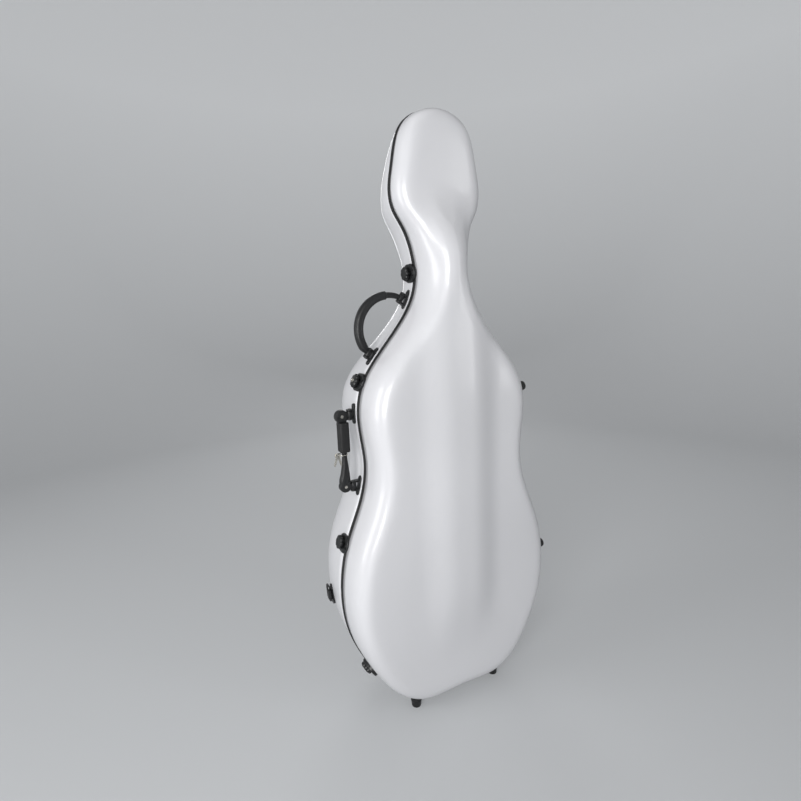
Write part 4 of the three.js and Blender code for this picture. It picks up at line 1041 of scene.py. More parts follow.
def kept_side(bm: Shape, point: Sequence[float], normal: Sequence[float]) -> Shape:
    """Cut a closed shape by a plane, keep what lies behind it, and close the cut.

    Args:
        bm: The shape.
        point: A point of the plane.
        normal: The direction that is cut away.

    Returns:
        The shape.
    """
    found = bmesh.ops.bisect_plane(
        bm, geom=bm.verts[:] + bm.edges[:] + bm.faces[:], plane_co=point, plane_no=normal, clear_outer=True
    )
    edges = [g for g in found["geom_cut"] if isinstance(g, bmesh.types.BMEdge)]
    bmesh.ops.edgeloop_fill(bm, edges=edges)
    return bm


def bar(size: Sequence[float], middle: Sequence[float]) -> Shape:
    """Make a straight bar.

    Args:
        size: Its length along each axis.
        middle: Its middle.

    Returns:
        The bar.
    """
    bm = bmesh.new()
    bmesh.ops.create_cube(bm, size=1)
    bmesh.ops.scale(bm, vec=size, verts=bm.verts)
    bmesh.ops.translate(bm, vec=middle, verts=bm.verts)
    return bm


# Shells and seam trim


@dataclass
class Skins:
    """Rows of points on the case's skins, from the seam to the middle."""

    case: CaseFrame
    samples: int = 110
    crowding: float = 1.7
    ring: np.ndarray = field(init=False)
    middles: np.ndarray = field(init=False)
    shares: np.ndarray = field(init=False)
    distances: np.ndarray = field(init=False)

    def __post_init__(self) -> None:
        """Measure how far each line from the outline to the middle is from the walls."""
        form = self.case.form
        half = form.half_ring()
        middles = np.column_stack([np.zeros(len(half)), np.clip(half[:, 1], form.spine_low, form.spine_high)])
        self.shares = np.linspace(0, 1, self.samples) ** self.crowding
        lines = half[:, None] + (middles - half)[:, None] * self.shares[None, :, None]
        found = form.distance(lines.reshape(-1, 2)).reshape(len(half), self.samples)
        found[:, 0] = 0
        self.ring = mirrored(half)
        self.middles = np.vstack([middles, middles[-2:0:-1]])
        self.distances = np.vstack([found, found[-2:0:-1]])

    def rows(self, half: Half, inset: float, start: float) -> list[np.ndarray]:
        """Make the rows of one skin.

        Args:
            half: Which half of the case.
            inset: How far the skin lies inside the outer surface.
            start: Height of its first row off the seam plane.

        Returns:
            Rows of points in the form's millimetres.
        """
        form = self.case.form
        rising = np.maximum.accumulate(self.distances, axis=1)
        limit = np.minimum(form.edge_round, rising[:, -1] * 0.999)
        rows = []
        reached = np.zeros(len(self.ring))
        for k in range(form.edge_rows + form.panel_rows + 1):
            if k <= form.edge_rows:
                angle = k / form.edge_rows * math.pi / 2
                share = 1 - math.cos(angle) ** (2 / form.power(half))
                away = inset + (limit - inset) * share
                along = np.array([np.interp(a, r, self.shares) for a, r in zip(away, rising)])
                reached = along
            else:
                share = (k - form.edge_rows) / form.panel_rows
                along = reached + (1 - reached) * share
                away = np.array([np.interp(a, self.shares, d) for a, d in zip(along, self.distances)])
            points = self.ring + (self.middles - self.ring) * along[:, None]
            depth = form.depth(half, inset, points, away) if k else np.full(len(points), start)
            rows.append(np.column_stack([points[:, 0], half.value * depth, points[:, 1]]))
        return rows


@dataclass
class Shells:
    """The two glossy shells, each one moulding with an even wall."""

    case: CaseFrame
    skins: Skins
    lid_start: float = 3.5
    back_start: float = 2.2

    def build(self) -> None:
        """Make both shells, each from its edge's height off the seam plane."""
        for name, half, start, node in (
            ("case_lid_shell", Half.LID, self.lid_start, "front_shell"),
            ("case_back_shell", Half.BACK, self.back_start, "back_shell"),
        ):
            bm = skin(self.skins.rows(half, 0, start), Ends.OPEN)
            piece = finished(name, bm, self.case.to_row(), half.body, GELCOAT, [node], sharp=60)
            wall = piece.modifiers.new("wall", "SOLIDIFY")
            wall.thickness = SHELL_WALL * METRES
            wall.offset = -1


@dataclass
class SeamTrim:
    """Rubber trim that laps both shell edges, with a seal bead in the lid's."""

    case: CaseFrame
    proud: float = 1.8
    leg: float = 1.8
    reach: float = 5.6
    slack: float = 0.3
    back_web: float = 1.9
    lid_web: float = 3.2
    groove: float = 2.1
    bead_middle: float = -1.65
    bead_reach: float = 1.5
    bead_rise: float = 0.9

    def build(self) -> None:
        """Make both rims and the seal."""
        self._band("case_back_trim", Half.BACK, self._section(self.back_web, self.slack, 0), "back_rim")
        self._band("case_lid_trim", Half.LID, self._section(self.lid_web, 0, self.groove), "lid_rim")
        middle, reach, rise = self.bead_middle, self.bead_reach, self.bead_rise
        bead = [(middle + reach * x, rise + rise * y) for x, y in circle(1, count=16)]
        self._band("case_seal_bead", Half.LID, bead, "lid_seal")

    def _section(self, web: float, near: float, groove: float) -> list[tuple[float, float]]:
        """Cross-section of a rim, as offsets out of the outline and heights off the seam plane.

        Args:
            web: Height at which the shell's edge rests.
            near: Gap to the seam plane.
            groove: Depth of the seal's groove, or nothing for none.

        Returns:
            The section's points in order.
        """
        out, far, inside = self.proud, self.reach, -self.slack - SHELL_WALL
        inner = inside - self.leg
        outer = [(out - 0.7, near), (out - 0.15, near + 0.25), (out, near + 0.9), (out, far - 1.3)]
        lip = [(out - 0.3, far - 0.4), (out - 0.9, far), (self.slack, far - 0.2), (self.slack, web)]
        legs = [(inside, web), (inside, far), (inner + 0.4, far), (inner, far - 0.5)]
        foot = [(inner, near)]
        if groove:
            half = self.bead_reach + self.slack
            low, high = self.bead_middle - half, self.bead_middle + half
            foot += [(low, near), (low, groove), (high, groove), (high, near)]
        return outer + lip + legs + foot

    def _band(self, name: str, half: Half, section: Pairs, node: str) -> None:
        """Run a cross-section round the outline in rubber.

        Args:
            name: The piece's name.
            half: Half of the case that it is on.
            section: Offsets out of the outline and heights off the seam plane.
            node: CAD node that it stands for.
        """
        rows = self.case.form.band([(offset, half.value * height) for offset, height in section])
        finished(name, skin(rows, Ends.LOOPED), self.case.to_row(), half.body, RUBBER, [node], sharp=50)


# Fittings


@dataclass
class Latch:
    """Turn latch: a housing cut by the seam, with a lobed dial on its back part and the keeper on the lid."""

    case: CaseFrame
    name: str
    locked: bool = False
    radius: float = 20.5
    near: float = -11.0
    far: float = -22.0
    height: float = LATCH_HEIGHT
    offset: float = LATCH_OFFSET
    seam_gap: float = 0.3
    screw_places: Pairs = ((-6.0, -14.0), (-6.0, 14.0))
    dial_radius: float = 16.0
    dial_floor: float = 6.4
    dial_height: float = 9.5
    dial_steps: Pairs = (
        (0.0, 0.93), (0.06, 0.985), (0.14, 1.0), (0.5, 1.0), (0.64, 0.985), (0.76, 0.945), (0.86, 0.87),
        (0.93, 0.76), (0.965, 0.66), (0.975, 0.5), (0.94, 0.36), (0.93, 0.2),
    )
    lobes: int = 8
    lobe_depth: float = 1.8
    spindle: float = 3.0
    bore: float = 3.4
    hook_half: float = 6.4
    hook_floor: float = 2.5
    hook_thickness: float = 3.0
    hook_reach: float = 2.0
    hook_tail: float = 10.0
    hook_nose: float = 1.2
    stroke: float = 5.0
    gap: float = 0.4

    def build(self) -> None:
        """Make the latch's pieces."""
        place = self.case.latch(self.name)
        self._plate(place)
        self._dial(place)
        if self.locked:
            self._lock(place)
        self._hook(place)
        self._keeper(place)

    @staticmethod
    def _on_wall(bm: Shape, across: float) -> Shape:
        """Turn a shape from its own plane to the wall, at a distance from the seam."""
        return moved(bm, Matrix.Translation((0, across, 0)) @ PLATE_TO_WALL)

    def _half_housing(self, way: int) -> Shape:
        """Make the housing on one side of the seam.

        Args:
            way: One towards the lid, or minus one towards the back.

        Returns:
            Half of the housing.
        """
        end = (self.radius, -LET_IN, self.height, 2.4, 96)
        whole = hulled(*(self._on_wall(button(*end), across) for across in (self.near, self.far)))
        return kept_side(whole, (0, way * self.seam_gap, 0), (0, -way, 0))

    def _channel(self, low: float, high: float) -> Shape:
        """Return the space that the hook slides in, between two distances from the seam."""
        floor = self.hook_floor - self.gap
        return bar((CUTTER, high - low, 2 * self.hook_half), (floor + CUTTER / 2, (low + high) / 2, 0))

    def _plate(self, place: Matrix) -> None:
        """Make the back part of the housing, with the hook's channel and the dial's bore.

        Args:
            place: The latch's frame.
        """
        channel = self._channel(-self.offset - self.hook_tail - self.gap, CUTTER)
        bore = self._on_wall(button(self.bore, 1.2, CUTTER, 0.1), -self.offset)
        face = self.height - 0.3
        screws = [shifted(self._on_wall(screw(1.9), y), face, 0, z) for y, z in self.screw_places]
        shape = welded(cut(cut(self._half_housing(-1), channel), bore), *screws)
        finished(f"latch_base_{self.name}", shape, place, "back", NYLON, [f"latch_{self.name}_plate"])

    def _dial(self, place: Matrix) -> None:
        """Make the domed dial with lobes round its edge, and its spindle.

        Args:
            place: The latch's frame.
        """
        rows = []
        for share, size in self.dial_steps:
            outline = round_outline(lambda angle, size=size: self._dial_reach(size, angle), 192)
            out = self.dial_floor + self.dial_height * share
            rows.append([(out, y - self.offset, z) for y, z in outline])
        spindle = self._on_wall(button(self.spindle, 1.7, self.dial_floor + 1, 0.2), -self.offset)
        shape = welded(skin(rows, Ends.CAPPED), spindle)
        name, body = f"latch_dial_{self.name}", f"{self.name}_knob"
        finished(name, shape, place, body, NYLON, [f"latch_{self.name}_knob"])

    def _dial_reach(self, size: float, angle: float) -> float:
        """Radius of the dial at an angle, at a height where its section has a share of the full size."""
        dip = self.lobe_depth * min(1.0, max(0.0, (size - 0.45) / 0.5))
        return size * self.dial_radius - dip * (0.5 - 0.5 * math.cos(self.lobes * angle)) ** 1.6

    def _lock(self, place: Matrix) -> None:
        """Make the lock's barrel in the middle of the dial, with its key slot.

        Args:
            place: The latch's frame.
        """
        top = self.dial_floor + self.dial_height
        profile = [
            (0, top - 3), (4.9, top - 3), (4.9, top + 0.5), (4.4, top + 1), (3.6, top + 1), (3.4, top + 0.6),
            (0, top + 0.6),
        ]
        barrel = self._on_wall(turned(profile), -self.offset)
        slot = bar((2, 1, 5), (top + 1, -self.offset, 0))
        finished("latch_lock_barrel", cut(barrel, slot), place, f"{self.name}_knob", NICKEL)

    def _hook(self, place: Matrix) -> None:
        """Make the sliding hook with its bevelled nose and its slot round the spindle.

        Args:
            place: The latch's frame.
        """
        half, tip, tail = self.hook_half - self.gap, self.hook_reach, -self.offset - self.hook_tail
        upper = [(tip, half - self.hook_nose), (tip - self.hook_nose, half), (tail, half)]
        outline = [(y, -z) for y, z in reversed(upper)] + upper
        floor, top = self.hook_floor, self.hook_floor + self.hook_thickness
        flat = moved(plate(outline, floor, top, 0.4, 0.4), PLATE_TO_WALL)
        width = 2 * self.bore
        slot = bar((8, self.stroke + width, width), ((floor + top) / 2, -self.offset - self.stroke / 2, 0))
        name, body = f"latch_hook_{self.name}", f"{self.name}_hook"
        finished(name, cut(flat, slot), place, body, ENAMEL_STEEL, [f"latch_{self.name}_hook"])

    def _keeper(self, place: Matrix) -> None:
        """Make the lid's part of the housing, with the notch that the hook lies in.

        Args:
            place: The latch's frame.
        """
        end = self.hook_reach + self.stroke + self.gap
        shape = cut(self._half_housing(1), self._channel(-end, end))
        finished(f"latch_keeper_{self.name}", shape, place, "lid", NYLON, [f"latch_{self.name}_keeper"])


@dataclass
class Bracket:
    """Handle bracket: an oval plate on the wall and two ears that hold a pin."""

    case: CaseFrame
    chord: Matrix
    height: float
    end: float
    length: float = 46.0
    width: float = 15.0
    thickness: float = 3.5
    seam_offset: float = 24.0
    ear_thickness: float = 4.0
    ear_radius: float = 7.0
    ear_edge: float = 0.8
    eye_length: float = 15.8
    standoff: float = 13.0
    pin: float = 2.5

    def build(self, name: str, node: str) -> None:
        """Make the bracket.

        Args:
            name: The piece's name.
            node: CAD node that it stands for.
        """
        wall = self.case.wall(Side.LEFT, self.height, self.seam_offset)
        base = screwed_plate(self.length, self.width, -4, self.thickness, 1.4, 3.2, 6.5)
        inner = self.eye_length / 2
        outer = inner + self.ear_thickness
        width, reach = 2 * self.ear_radius, self.standoff + 2 * self.ear_radius
        ear = [(x, y) for y, x in slot_outline(reach, width, self.ear_radius - reach / 2)]
        fork = []
        for side in (-1, 1):
            low, high = sorted((side * inner, side * outer))
            cap = moved(button(4, -0.5, 1.2, 1), Matrix.Rotation(math.pi if side < 0 else 0, 4, "X"))
            fork += [plate(ear, low, high, self.ear_edge, self.ear_edge), shifted(cap, z=side * outer)]
        half = inner + 1
        fork.append(turned([(0, -half), (self.pin, -half), (self.pin, half), (0, half)], 28))
        shape = welded(moved(base, self.chord.inverted() @ wall), shifted(welded(*fork), z=self.end))
        finished(name, shape, self.chord, "back", NYLON, [node])


def eye(z: float) -> Shape:
    """Return a handle's eye: a short tube round the bracket's pin, at a height along the chord."""
    return shifted(tube(7.5, 7.0, 2.9, ((0, 1.2), (0.35, 0.35), (1.2, 0)), 40, 0.5), z=z)


@dataclass
class ShoulderHandle:
    """Bowed carrying handle at the shoulder: a thick sleeve over a strap that is narrower at its ends."""

    case: CaseFrame
    length: float = 147.1
    rise: float = 60.0
    low_height: float = 814.99
    high_height: float = 937.95
    stations: int = 96
    # Shares of the length from the lower end, and there the thickness and the width.
    sizes: Sequence[tuple[float, float, float]] = (
        (0.0, 9.5, 12.0), (0.03, 11.5, 14.0), (0.06, 17.0, 19.0), (0.085, 19.5, 21.0), (0.5, 20.0, 21.5),
        (0.80, 19.0, 20.5), (0.815, 13.5, 16.0), (0.92, 12.5, 15.0), (0.965, 11.0, 13.5), (1.0, 10.0, 12.0),
    )

    def build(self) -> None:
        """Make the handle and its two brackets."""
        place, half = self.case.chord("shoulder_handle_swing"), self.length / 2
        for name, height, end in (("lower", self.low_height, -half), ("upper", self.high_height, half)):
            Bracket(self.case, place, height, end).build(f"shoulder_mount_{name}", f"shoulder_bracket_{name}")
        shape = welded(skin(self._rows(), Ends.CAPPED), eye(-half), eye(half))
        finished("shoulder_carry_handle", shape, place, "shoulder_carry", HANDLE_SKIN, ["shoulder_handle"])

    def _rows(self) -> list[Row]:
        """Run the handle's cross-section along its bow.

        Returns:
            Rings of points, from the lower end.
        """
        radius = (self.length**2 / 4 + self.rise**2) / (2 * self.rise)
        sweep = math.asin(self.length / 2 / radius)
        places, thick, wide = zip(*self.sizes)
        rows = []
        for share in np.unique([*np.linspace(0.027, 0.973, self.stations), 0.80, 0.815, 0.085]):
            angle = sweep * (2 * share - 1)
            out = Vector((math.cos(angle), 0, math.sin(angle)))
            centre = Vector((self.rise - radius, 0, 0)) + out * radius
            section = oval(*(float(np.interp(share, places, values)) for values in (thick, wide)), 2.7)
            rows.append([centre + out * a + Vector((0, b, 0)) for a, b in section])
        return rows


@dataclass
class SideHandle:
    """Straight carrying handle at the waist: a strap with looped ends, a slab grip and the keys."""

    case: CaseFrame
    length: float = 164.77
    reach: float = 17.0
    low_height: float = 523.5
    high_height: float = 691.5
    upper_loop: float = 14.6
    lower_loop: float = 13.2
    loop_reach: float = 20.0
    loop_inset: float = 2.0
    loop_half: float = 8.0
    grip_length: float = 66.0
    grip_drop: float = 16.0
    grip_width: float = 27.0
    grip_thickness: float = 23.0
    flute_depth: float = 1.1
    flute_width: float = 3.2
    core: float = 6.4
    ring_radius: float = 11.5
    ring_wire: float = 0.9
    ring_drop: float = 6.0

    def build(self) -> None:
        """Make the handle, its brackets and the keys."""
        place, half = self.case.chord("side_handle_swing"), self.length / 2
        for name, height, end in (("lower", self.low_height, -half), ("upper", self.high_height, half)):
            Bracket(self.case, place, height, end).build(f"side_mount_{name}", f"side_bracket_{name}")
        finished("side_carry_strap", self._strap(half), place, "side_carry", HANDLE_SKIN, ["side_handle"])
        pins = [self._at_loop(button(3.3, -8.2, 8.2, 0.7), end) for end in (-half, half)]
        finished("side_carry_pins", welded(*pins), place, "side_carry", NICKEL)
        finished("side_carry_grip", self._grip(), place, "side_carry", RUBBER, ["side_handle_grip"], sharp=45)
        z = half - self.grip_drop - self.grip_length - self.ring_drop
        wire = circle(self.ring_wire, self.ring_radius)
        ring = turned([*wire, wire[0]], 56)
        centre = self.reach - self.core - self.ring_wire + self.ring_radius
        finished("key_ring_wire", shifted(ring, centre, 0, z), place, "keys", NICKEL, ["key_ring"])
        softened("key_front", "key_flat_front", "keys", NICKEL, 0.3)
        softened("key_rear", "key_flat_rear", "keys", NICKEL, 0.3)

    def _at_loop(self, bm: Shape, end: float) -> Shape:
        """Lay a turned shape across the handle, in the middle of the loop at one end."""
        return shifted(moved(bm, Z_TO_Y), self.loop_reach, 0, end - math.copysign(self.loop_inset, end))

    def _strap(self, end: float) -> Shape:
        """Make the strap between its loops, and the links to the eyes.

        Args:
            end: Half the length between the brackets' pins.

        Returns:
            The strap, in the chord's frame.
        """
        # Heights along the chord, and there the strap's distance out, its thickness and its width.
        lower = [6 - end, 12 - end, 18 - end, 32 - end, 50 - end]
        heights = [*lower, -14, 10, 40, end - 24, end - 14, end - 6]
        middles = [20, 20, 19.4, 17.8, 17, 17, 17, 17, 17.3, 19, 20]
        thick = [21, 24.5, 24.5, 19.5, 14.5, 10.6, 10.6, 10.6, 14, 22, 22]
        wide = [15, 17.5, 18, 17, 15, 10.8, 10.8, 10.8, 15, 15.5, 15]
        rows = []
        for z in np.linspace(heights[0], heights[-1], 90):
            out, a, b = (float(np.interp(z, heights, sizes)) for sizes in (middles, thick, wide))
            rows.append([(out + x, y, z) for x, y in oval(a, b, 3.0)])
        shapes = [skin(rows, Ends.CAPPED)]
        rounding = ((0, 2.4), (0.7, 0.7), (2.4, 0))
        for at, radius in ((-end, self.lower_loop), (end, self.upper_loop)):
            loop = tube(self.loop_half, radius, 3.4, rounding, 56)
            shapes.append(self._at_loop(loop, at))
        section = oval(12.5, 13, 3.0)
        for at in (-end, end):
            link = [
                [(out, y * size, at + z * size) for y, z in section]
                for out, size in ((4.2, 1), (12, 1), (16, 0.9))
            ]
            shapes += [eye(at), skin(link, Ends.CAPPED)]
        return welded(*shapes)

    def _grip(self) -> Shape:
        """Make the slab grip, softer at its ends and fluted down its outer face.

        Returns:
            The grip.
        """
        top = self.length / 2 - self.grip_drop
        rows = []
        for share in (0, 0.008, 0.025, 0.06, *np.linspace(0.1, 0.9, 30), 0.94, 0.975, 0.992, 1):
            soft = 1 - 0.07 * (1 - min(1, min(share, 1 - share) / 0.04)) ** 2
            section = oval(self.grip_thickness * soft, self.grip_width * soft, 5.0, 64)
            z = top - self.grip_length * share
            rows.append([(self.reach + a - self._flute(a, b), b, z) for a, b in section])
        return skin(rows, Ends.CAPPED)

    def _flute(self, out: float, across: float) -> float:
        """Depth of the shallow groove down the middle of the grip's outer face.

        Args:
            out: Distance out of the grip's middle.
            across: Distance from its middle line.

        Returns:
            The depth.
        """
        if out < self.grip_thickness * 0.3:
            return 0.0
        return self.flute_depth * math.exp(-((across / self.flute_width) ** 2))


@dataclass
class StrapRing:
    """Anchor for a carrying strap: a plate with a barrel and the ring that swings in it."""

    case: CaseFrame
    name: str
    way: int = -1
    plate_length: float = 52.0
    plate_width: float = 22.0
    plate_height: float = 3.0
    plate_face: float = -4.0
    barrel_length: float = 24.0
    barrel_radius: float = 5.5
    barrel_edge: float = 0.8
    ring_width: float = 42.0
    ring_drop: float = 24.0
    wire: float = 2.1

    def build(self) -> None:
        """Make the anchor and its ring."""
        joint = self.case.joints[f"strap_{self.name}_swing"]
        axis, origin = Vector(joint["axis"]), Vector(joint["pos_m"])
        place = self.case.framed(self._out(axis), axis, origin)
        edge, low = self.barrel_edge, self.plate_face - self.plate_height - 5
        anchor = welded(
            screwed_plate(self.plate_length, self.plate_width, low, self.plate_face, 1.0, 3.0, 6.0),
            tube(self.barrel_length / 2, self.barrel_radius, 3.0, ((0, edge), (edge, 0)), 40),
            bar((5.4, 2 * self.barrel_radius, self.barrel_length - 0.4), (-5.9, 0, 0)),
        )
        name, node = f"strap_anchor_{self.name}", f"strap_{self.name}_plate"
        finished(name, anchor, place, "back", ENAMEL_STEEL, [node])
        ring = skin(self._ring_rows(), Ends.LOOPED)
        name, node = f"strap_loop_{self.name}", f"strap_{self.name}_ring"
        finished(name, ring, place, f"ring_{self.name}", ENAMEL_STEEL, [node])

    def _out(self, axis: Vector) -> Vector:
        """Direction out of the wall, square to the ring's axis.

        Args:
            axis: Direction of the ring's axis.

        Returns:
            The direction.
        """
        if self.name == "left":
            return axis.cross(Vector((0, 1, 0)))
        if self.name == "right":
            return Vector((0, 1, 0)).cross(axis)
        form = self.case.form
        heights = np.array([950.2, 974.2])
        low, high = form.profile(form.back_depths, heights)
        return Vector((0, high - low, 24)).cross(Vector((1, 0, 0)))

    def _ring_rows(self) -> list[Row]:
        """Run a round wire along the ring's closed line.

        Returns:
            Rings of points round the wire.
        """
        side, far, bend = self.ring_width / 2 - 2, self.ring_drop - 2, 9.0
        corners = [(0, -side, 4.0), (0, side, 4.0), (far, side, bend), (far, -side, bend)]
        line = []
        for i, (y, z, radius) in enumerate(corners):
            before, after = Vector(corners[i - 1][:2]), Vector(corners[(i + 1) % 4][:2])
            corner = Vector((y, z))
            start = corner + (before - corner).normalized() * radius
            end = corner + (after - corner).normalized() * radius
            for t in np.linspace(0, 1, 12):
                line.append(start * (1 - t) ** 2 + corner * 2 * t * (1 - t) + end * t**2)
        rows = []
        for i, point in enumerate(line):
            along = (line[(i + 1) % len(line)] - line[i - 1]).normalized()
            out = Vector((0, along.y * self.way, -along.x))
            centre = Vector((0, point.x * self.way, point.y))
            rows.append([centre + out * a + Vector((b, 0, 0)) for a, b in circle(self.wire)])
        return rows


@dataclass
class Feet:
    """Rubber feet under the case and on its hinge side, each with a screw hole in its tip."""

    case: CaseFrame
    radius: float = 13.0
    tip_radius: float = 11.0
    tip_round: float = 2.0
    hole_depth: float = 4.0
    spread: float = 112.0
    depths: Sequence[tuple[Half, float]] = ((Half.BACK, 88.0), (Half.LID, -58.0))
    height: float = 18.0
    side_height: float = 13.0
    side_places: Sequence[tuple[str, float]] = (("lower", 302.1), ("upper", 723.5))

    def build(self) -> None:
        """Make the eight feet."""
        down = Matrix.Rotation(math.pi, 4, "X")
        for half, depth in self.depths:
            for side, x in (("left", -self.spread), ("right", self.spread)):
                place = self.case.to_row() @ Matrix.Translation((x, depth, 0)) @ down
                self._foot(f"{half.body}_foot_{side}", place, self.height, half.body)
            for name, height in self.side_places:
                place = self.case.wall(Side.RIGHT, height, depth) @ PLATE_TO_WALL
                self._foot(f"{half.body}_side_foot_{name}", place, self.side_height, half.body)

    def _foot(self, node: str, place: Matrix, height: float, body: str) -> None:
        """Make one foot.

        Args:
            node: CAD node that it stands for.
            place: Frame whose Z points out of the wall.
            height: How far it stands out.
            body: Body that it rides on.
        """
        soft, floor = self.tip_round, height - self.hole_depth
        bend = [
            (self.tip_radius - soft + soft * math.cos(a), height - soft + soft * math.sin(a))
            for a in np.linspace(0.1, QUARTER_TURN, 6)
        ]
        collar = [(self.radius, -LET_IN), (self.radius, 2.2), (self.radius - 0.6, 2.8)]
        profile = [(0, -LET_IN), *collar, *bend, (5.2, height), (4.8, floor), (0, floor)]
        finished(f"rubber_{node}", turned(profile, 56), place, body, RUBBER, [node], sharp=40)


@dataclass
class Hinges:
    """Two butt hinges on the right wall, their leaves screwed to the shells."""

    edge: float = 0.7

    def build(self) -> None:
        """Dress both hinges."""
        for name in ("lower", "upper"):
            for leaf, body in (("base", "back"), ("lid", "lid")):
                node, piece = f"hinge_{name}_{leaf}_leaf", f"hinge_leaf_{body}_{name}"
                softened(node, piece, body, ENAMEL_STEEL, self.edge)


# Padding and what holds the cello


@dataclass
class PaddedForm:
    """A stuffed cover over foam: the form is taken in a little, then blown up as cloth under pressure."""

    node: str
    name: str
    body: str
    taken_in: float
    movement: float
    fill: float
    voxel: float = 5.0
    pressure: float = 4.0
    frames: int = 20

    def build(self) -> None:
        """Make the padded piece."""
        bm = copied(self.node)
        bmesh.ops.recalc_face_normals(bm, faces=bm.faces)
        form = linked("form", as_mesh("form", bm))
        remesh = form.modifiers.new("even", "REMESH")
        remesh.mode = "VOXEL"
        remesh.voxel_size = self.voxel * METRES
        self._apply(form)
        self._take_in(form.data)
        self._blow_up(form)
        left = bmesh.new()
        left.from_mesh(form.data)
        self._smooth(left)
        dropped(form)
        piece = finished(
            self.name, moved(left, TO_MILLIMETRES), TO_METRES, self.body, PLUSH, [self.node], sharp=180
        )
        smooth = piece.modifiers.new("smooth", "SUBSURF")
        smooth.levels = smooth.render_levels = 1

    @staticmethod
    def _smooth(bm: Shape) -> None:
        """Pull each point half of the way to the middle of its neighbours."""
        every = {f"use_axis_{axis}": True for axis in "xyz"}
        bmesh.ops.smooth_vert(bm, verts=bm.verts, factor=0.5, **every)

    @staticmethod
    def _apply(form: bpy.types.Object) -> None:
        """Make what an object's modifiers give its own mesh.

        Args:
            form: The object.
        """
        bpy.context.view_layer.update()
        made = bpy.data.meshes.new_from_object(form.evaluated_get(bpy.context.evaluated_depsgraph_get()))
        old, form.data = form.data, made
        bpy.data.meshes.remove(old)
        form.modifiers.clear()

    def _take_in(self, mesh: bpy.types.Mesh) -> None:
        """Round the form's corners and move its skin inwards.

        Args:
            mesh: The form's mesh.
        """
        bm = bmesh.new()
        bm.from_mesh(mesh)
        for _ in range(4):
            self._smooth(bm)
        bm.normal_update()
        moves = [v.normal * self.taken_in * METRES for v in bm.verts]
        for vert, move in zip(bm.verts, moves):
            vert.co -= move
        bm.to_mesh(mesh)
        bm.free()

    def _blow_up(self, form: bpy.types.Object) -> None:
        """Run the cloth under pressure and keep how far each point moved, up to a cap.

        Args:
            form: The form's object.
        """
        scene = bpy.context.scene
        cloth = form.modifiers.new("cover", "CLOTH")
        cloth.settings.use_pressure = True
        cloth.settings.uniform_pressure_force = self.pressure
        cloth.settings.effector_weights.gravity = 0
        start = np.array([v.co for v in form.data.vertices])
        for frame in range(1, self.frames + 1):
            scene.frame_set(frame)
        found = form.evaluated_get(bpy.context.evaluated_depsgraph_get()).data
        move = np.array([v.co for v in found.vertices]) - start
        length = np.maximum(np.linalg.norm(move, axis=1), 1e-9)
        cap = self.movement * METRES
        start += move * np.minimum(1, cap / length)[:, None]
        form.modifiers.clear()
        form.data.vertices.foreach_set("co", start.ravel())
        scene.frame_set(1)


@dataclass
class Interior:
    """The plush lining in both halves, the supports for the cello and what the lid carries."""

    case: CaseFrame
    skins: Skins
    outer_inset: float = 3.5
    inner_inset: float = 12.1
    start: float = 6.1
    piping: float = 2.0

    def build(self) -> None:
        """Make everything inside the case."""
        self._lining("back_plush", Half.BACK, "back_lining")
        self._lining("lid_plush", Half.LID, "lid_lining")
        for side in ("left", "right"):
            PaddedForm(f"body_cushion_{side}", f"bout_cushion_{side}", "back", 3.0, 5.0, 0.8).build()
        PaddedForm("neck_cradle", "neck_support", "back", 2.0, 2.5, 0.9, voxel=4.0).build()
        PaddedForm("end_block", "tail_support", "back", 2.0, 3.0, 0.9).build()
        PaddedForm("accessory_pocket", "accessory_pouch", "lid", 3.0, 4.5, 0.6).build()
        PaddedForm("bow_tip_pocket", "bow_tip_pouch", "lid", 2.5, 3.5, 0.6, voxel=4.0).build()
        softened("neck_strap", "neck_webbing", "back", WEBBING, 0.5)
        for side in ("left", "right"):
            softened(f"bow_clip_{side}", f"bow_turn_clip_{side}", f"bow_turn_{side}", NYLON, 1.0)

    def _lining(self, name: str, half: Half, node: str) -> None:
        """Make one half's lining: foam under plush, with a piped edge at the seam.

        Args:
            name: The piece's name.
            half: Which half of the case.
            node: CAD node that it stands for.
        """
        against = self.skins.rows(half, self.outer_inset, self.start)
        towards = self.skins.rows(half, self.inner_inset, self.start)
        rows = against[:0:-1] + [against[0], towards[0]] + towards[1:]
        piece = finished(name, skin(rows, Ends.OPEN), self.case.to_row(), half.body, PLUSH, [node], sharp=75)
        cord = circle(self.piping, self.piping - self.inner_inset, self.start)
        rows = self.case.form.band([(offset, half.value * height) for offset, height in cord])
        finished(f"{name}_piping", skin(rows, Ends.LOOPED), self.case.to_row(), half.body, WEBBING)


# Studio


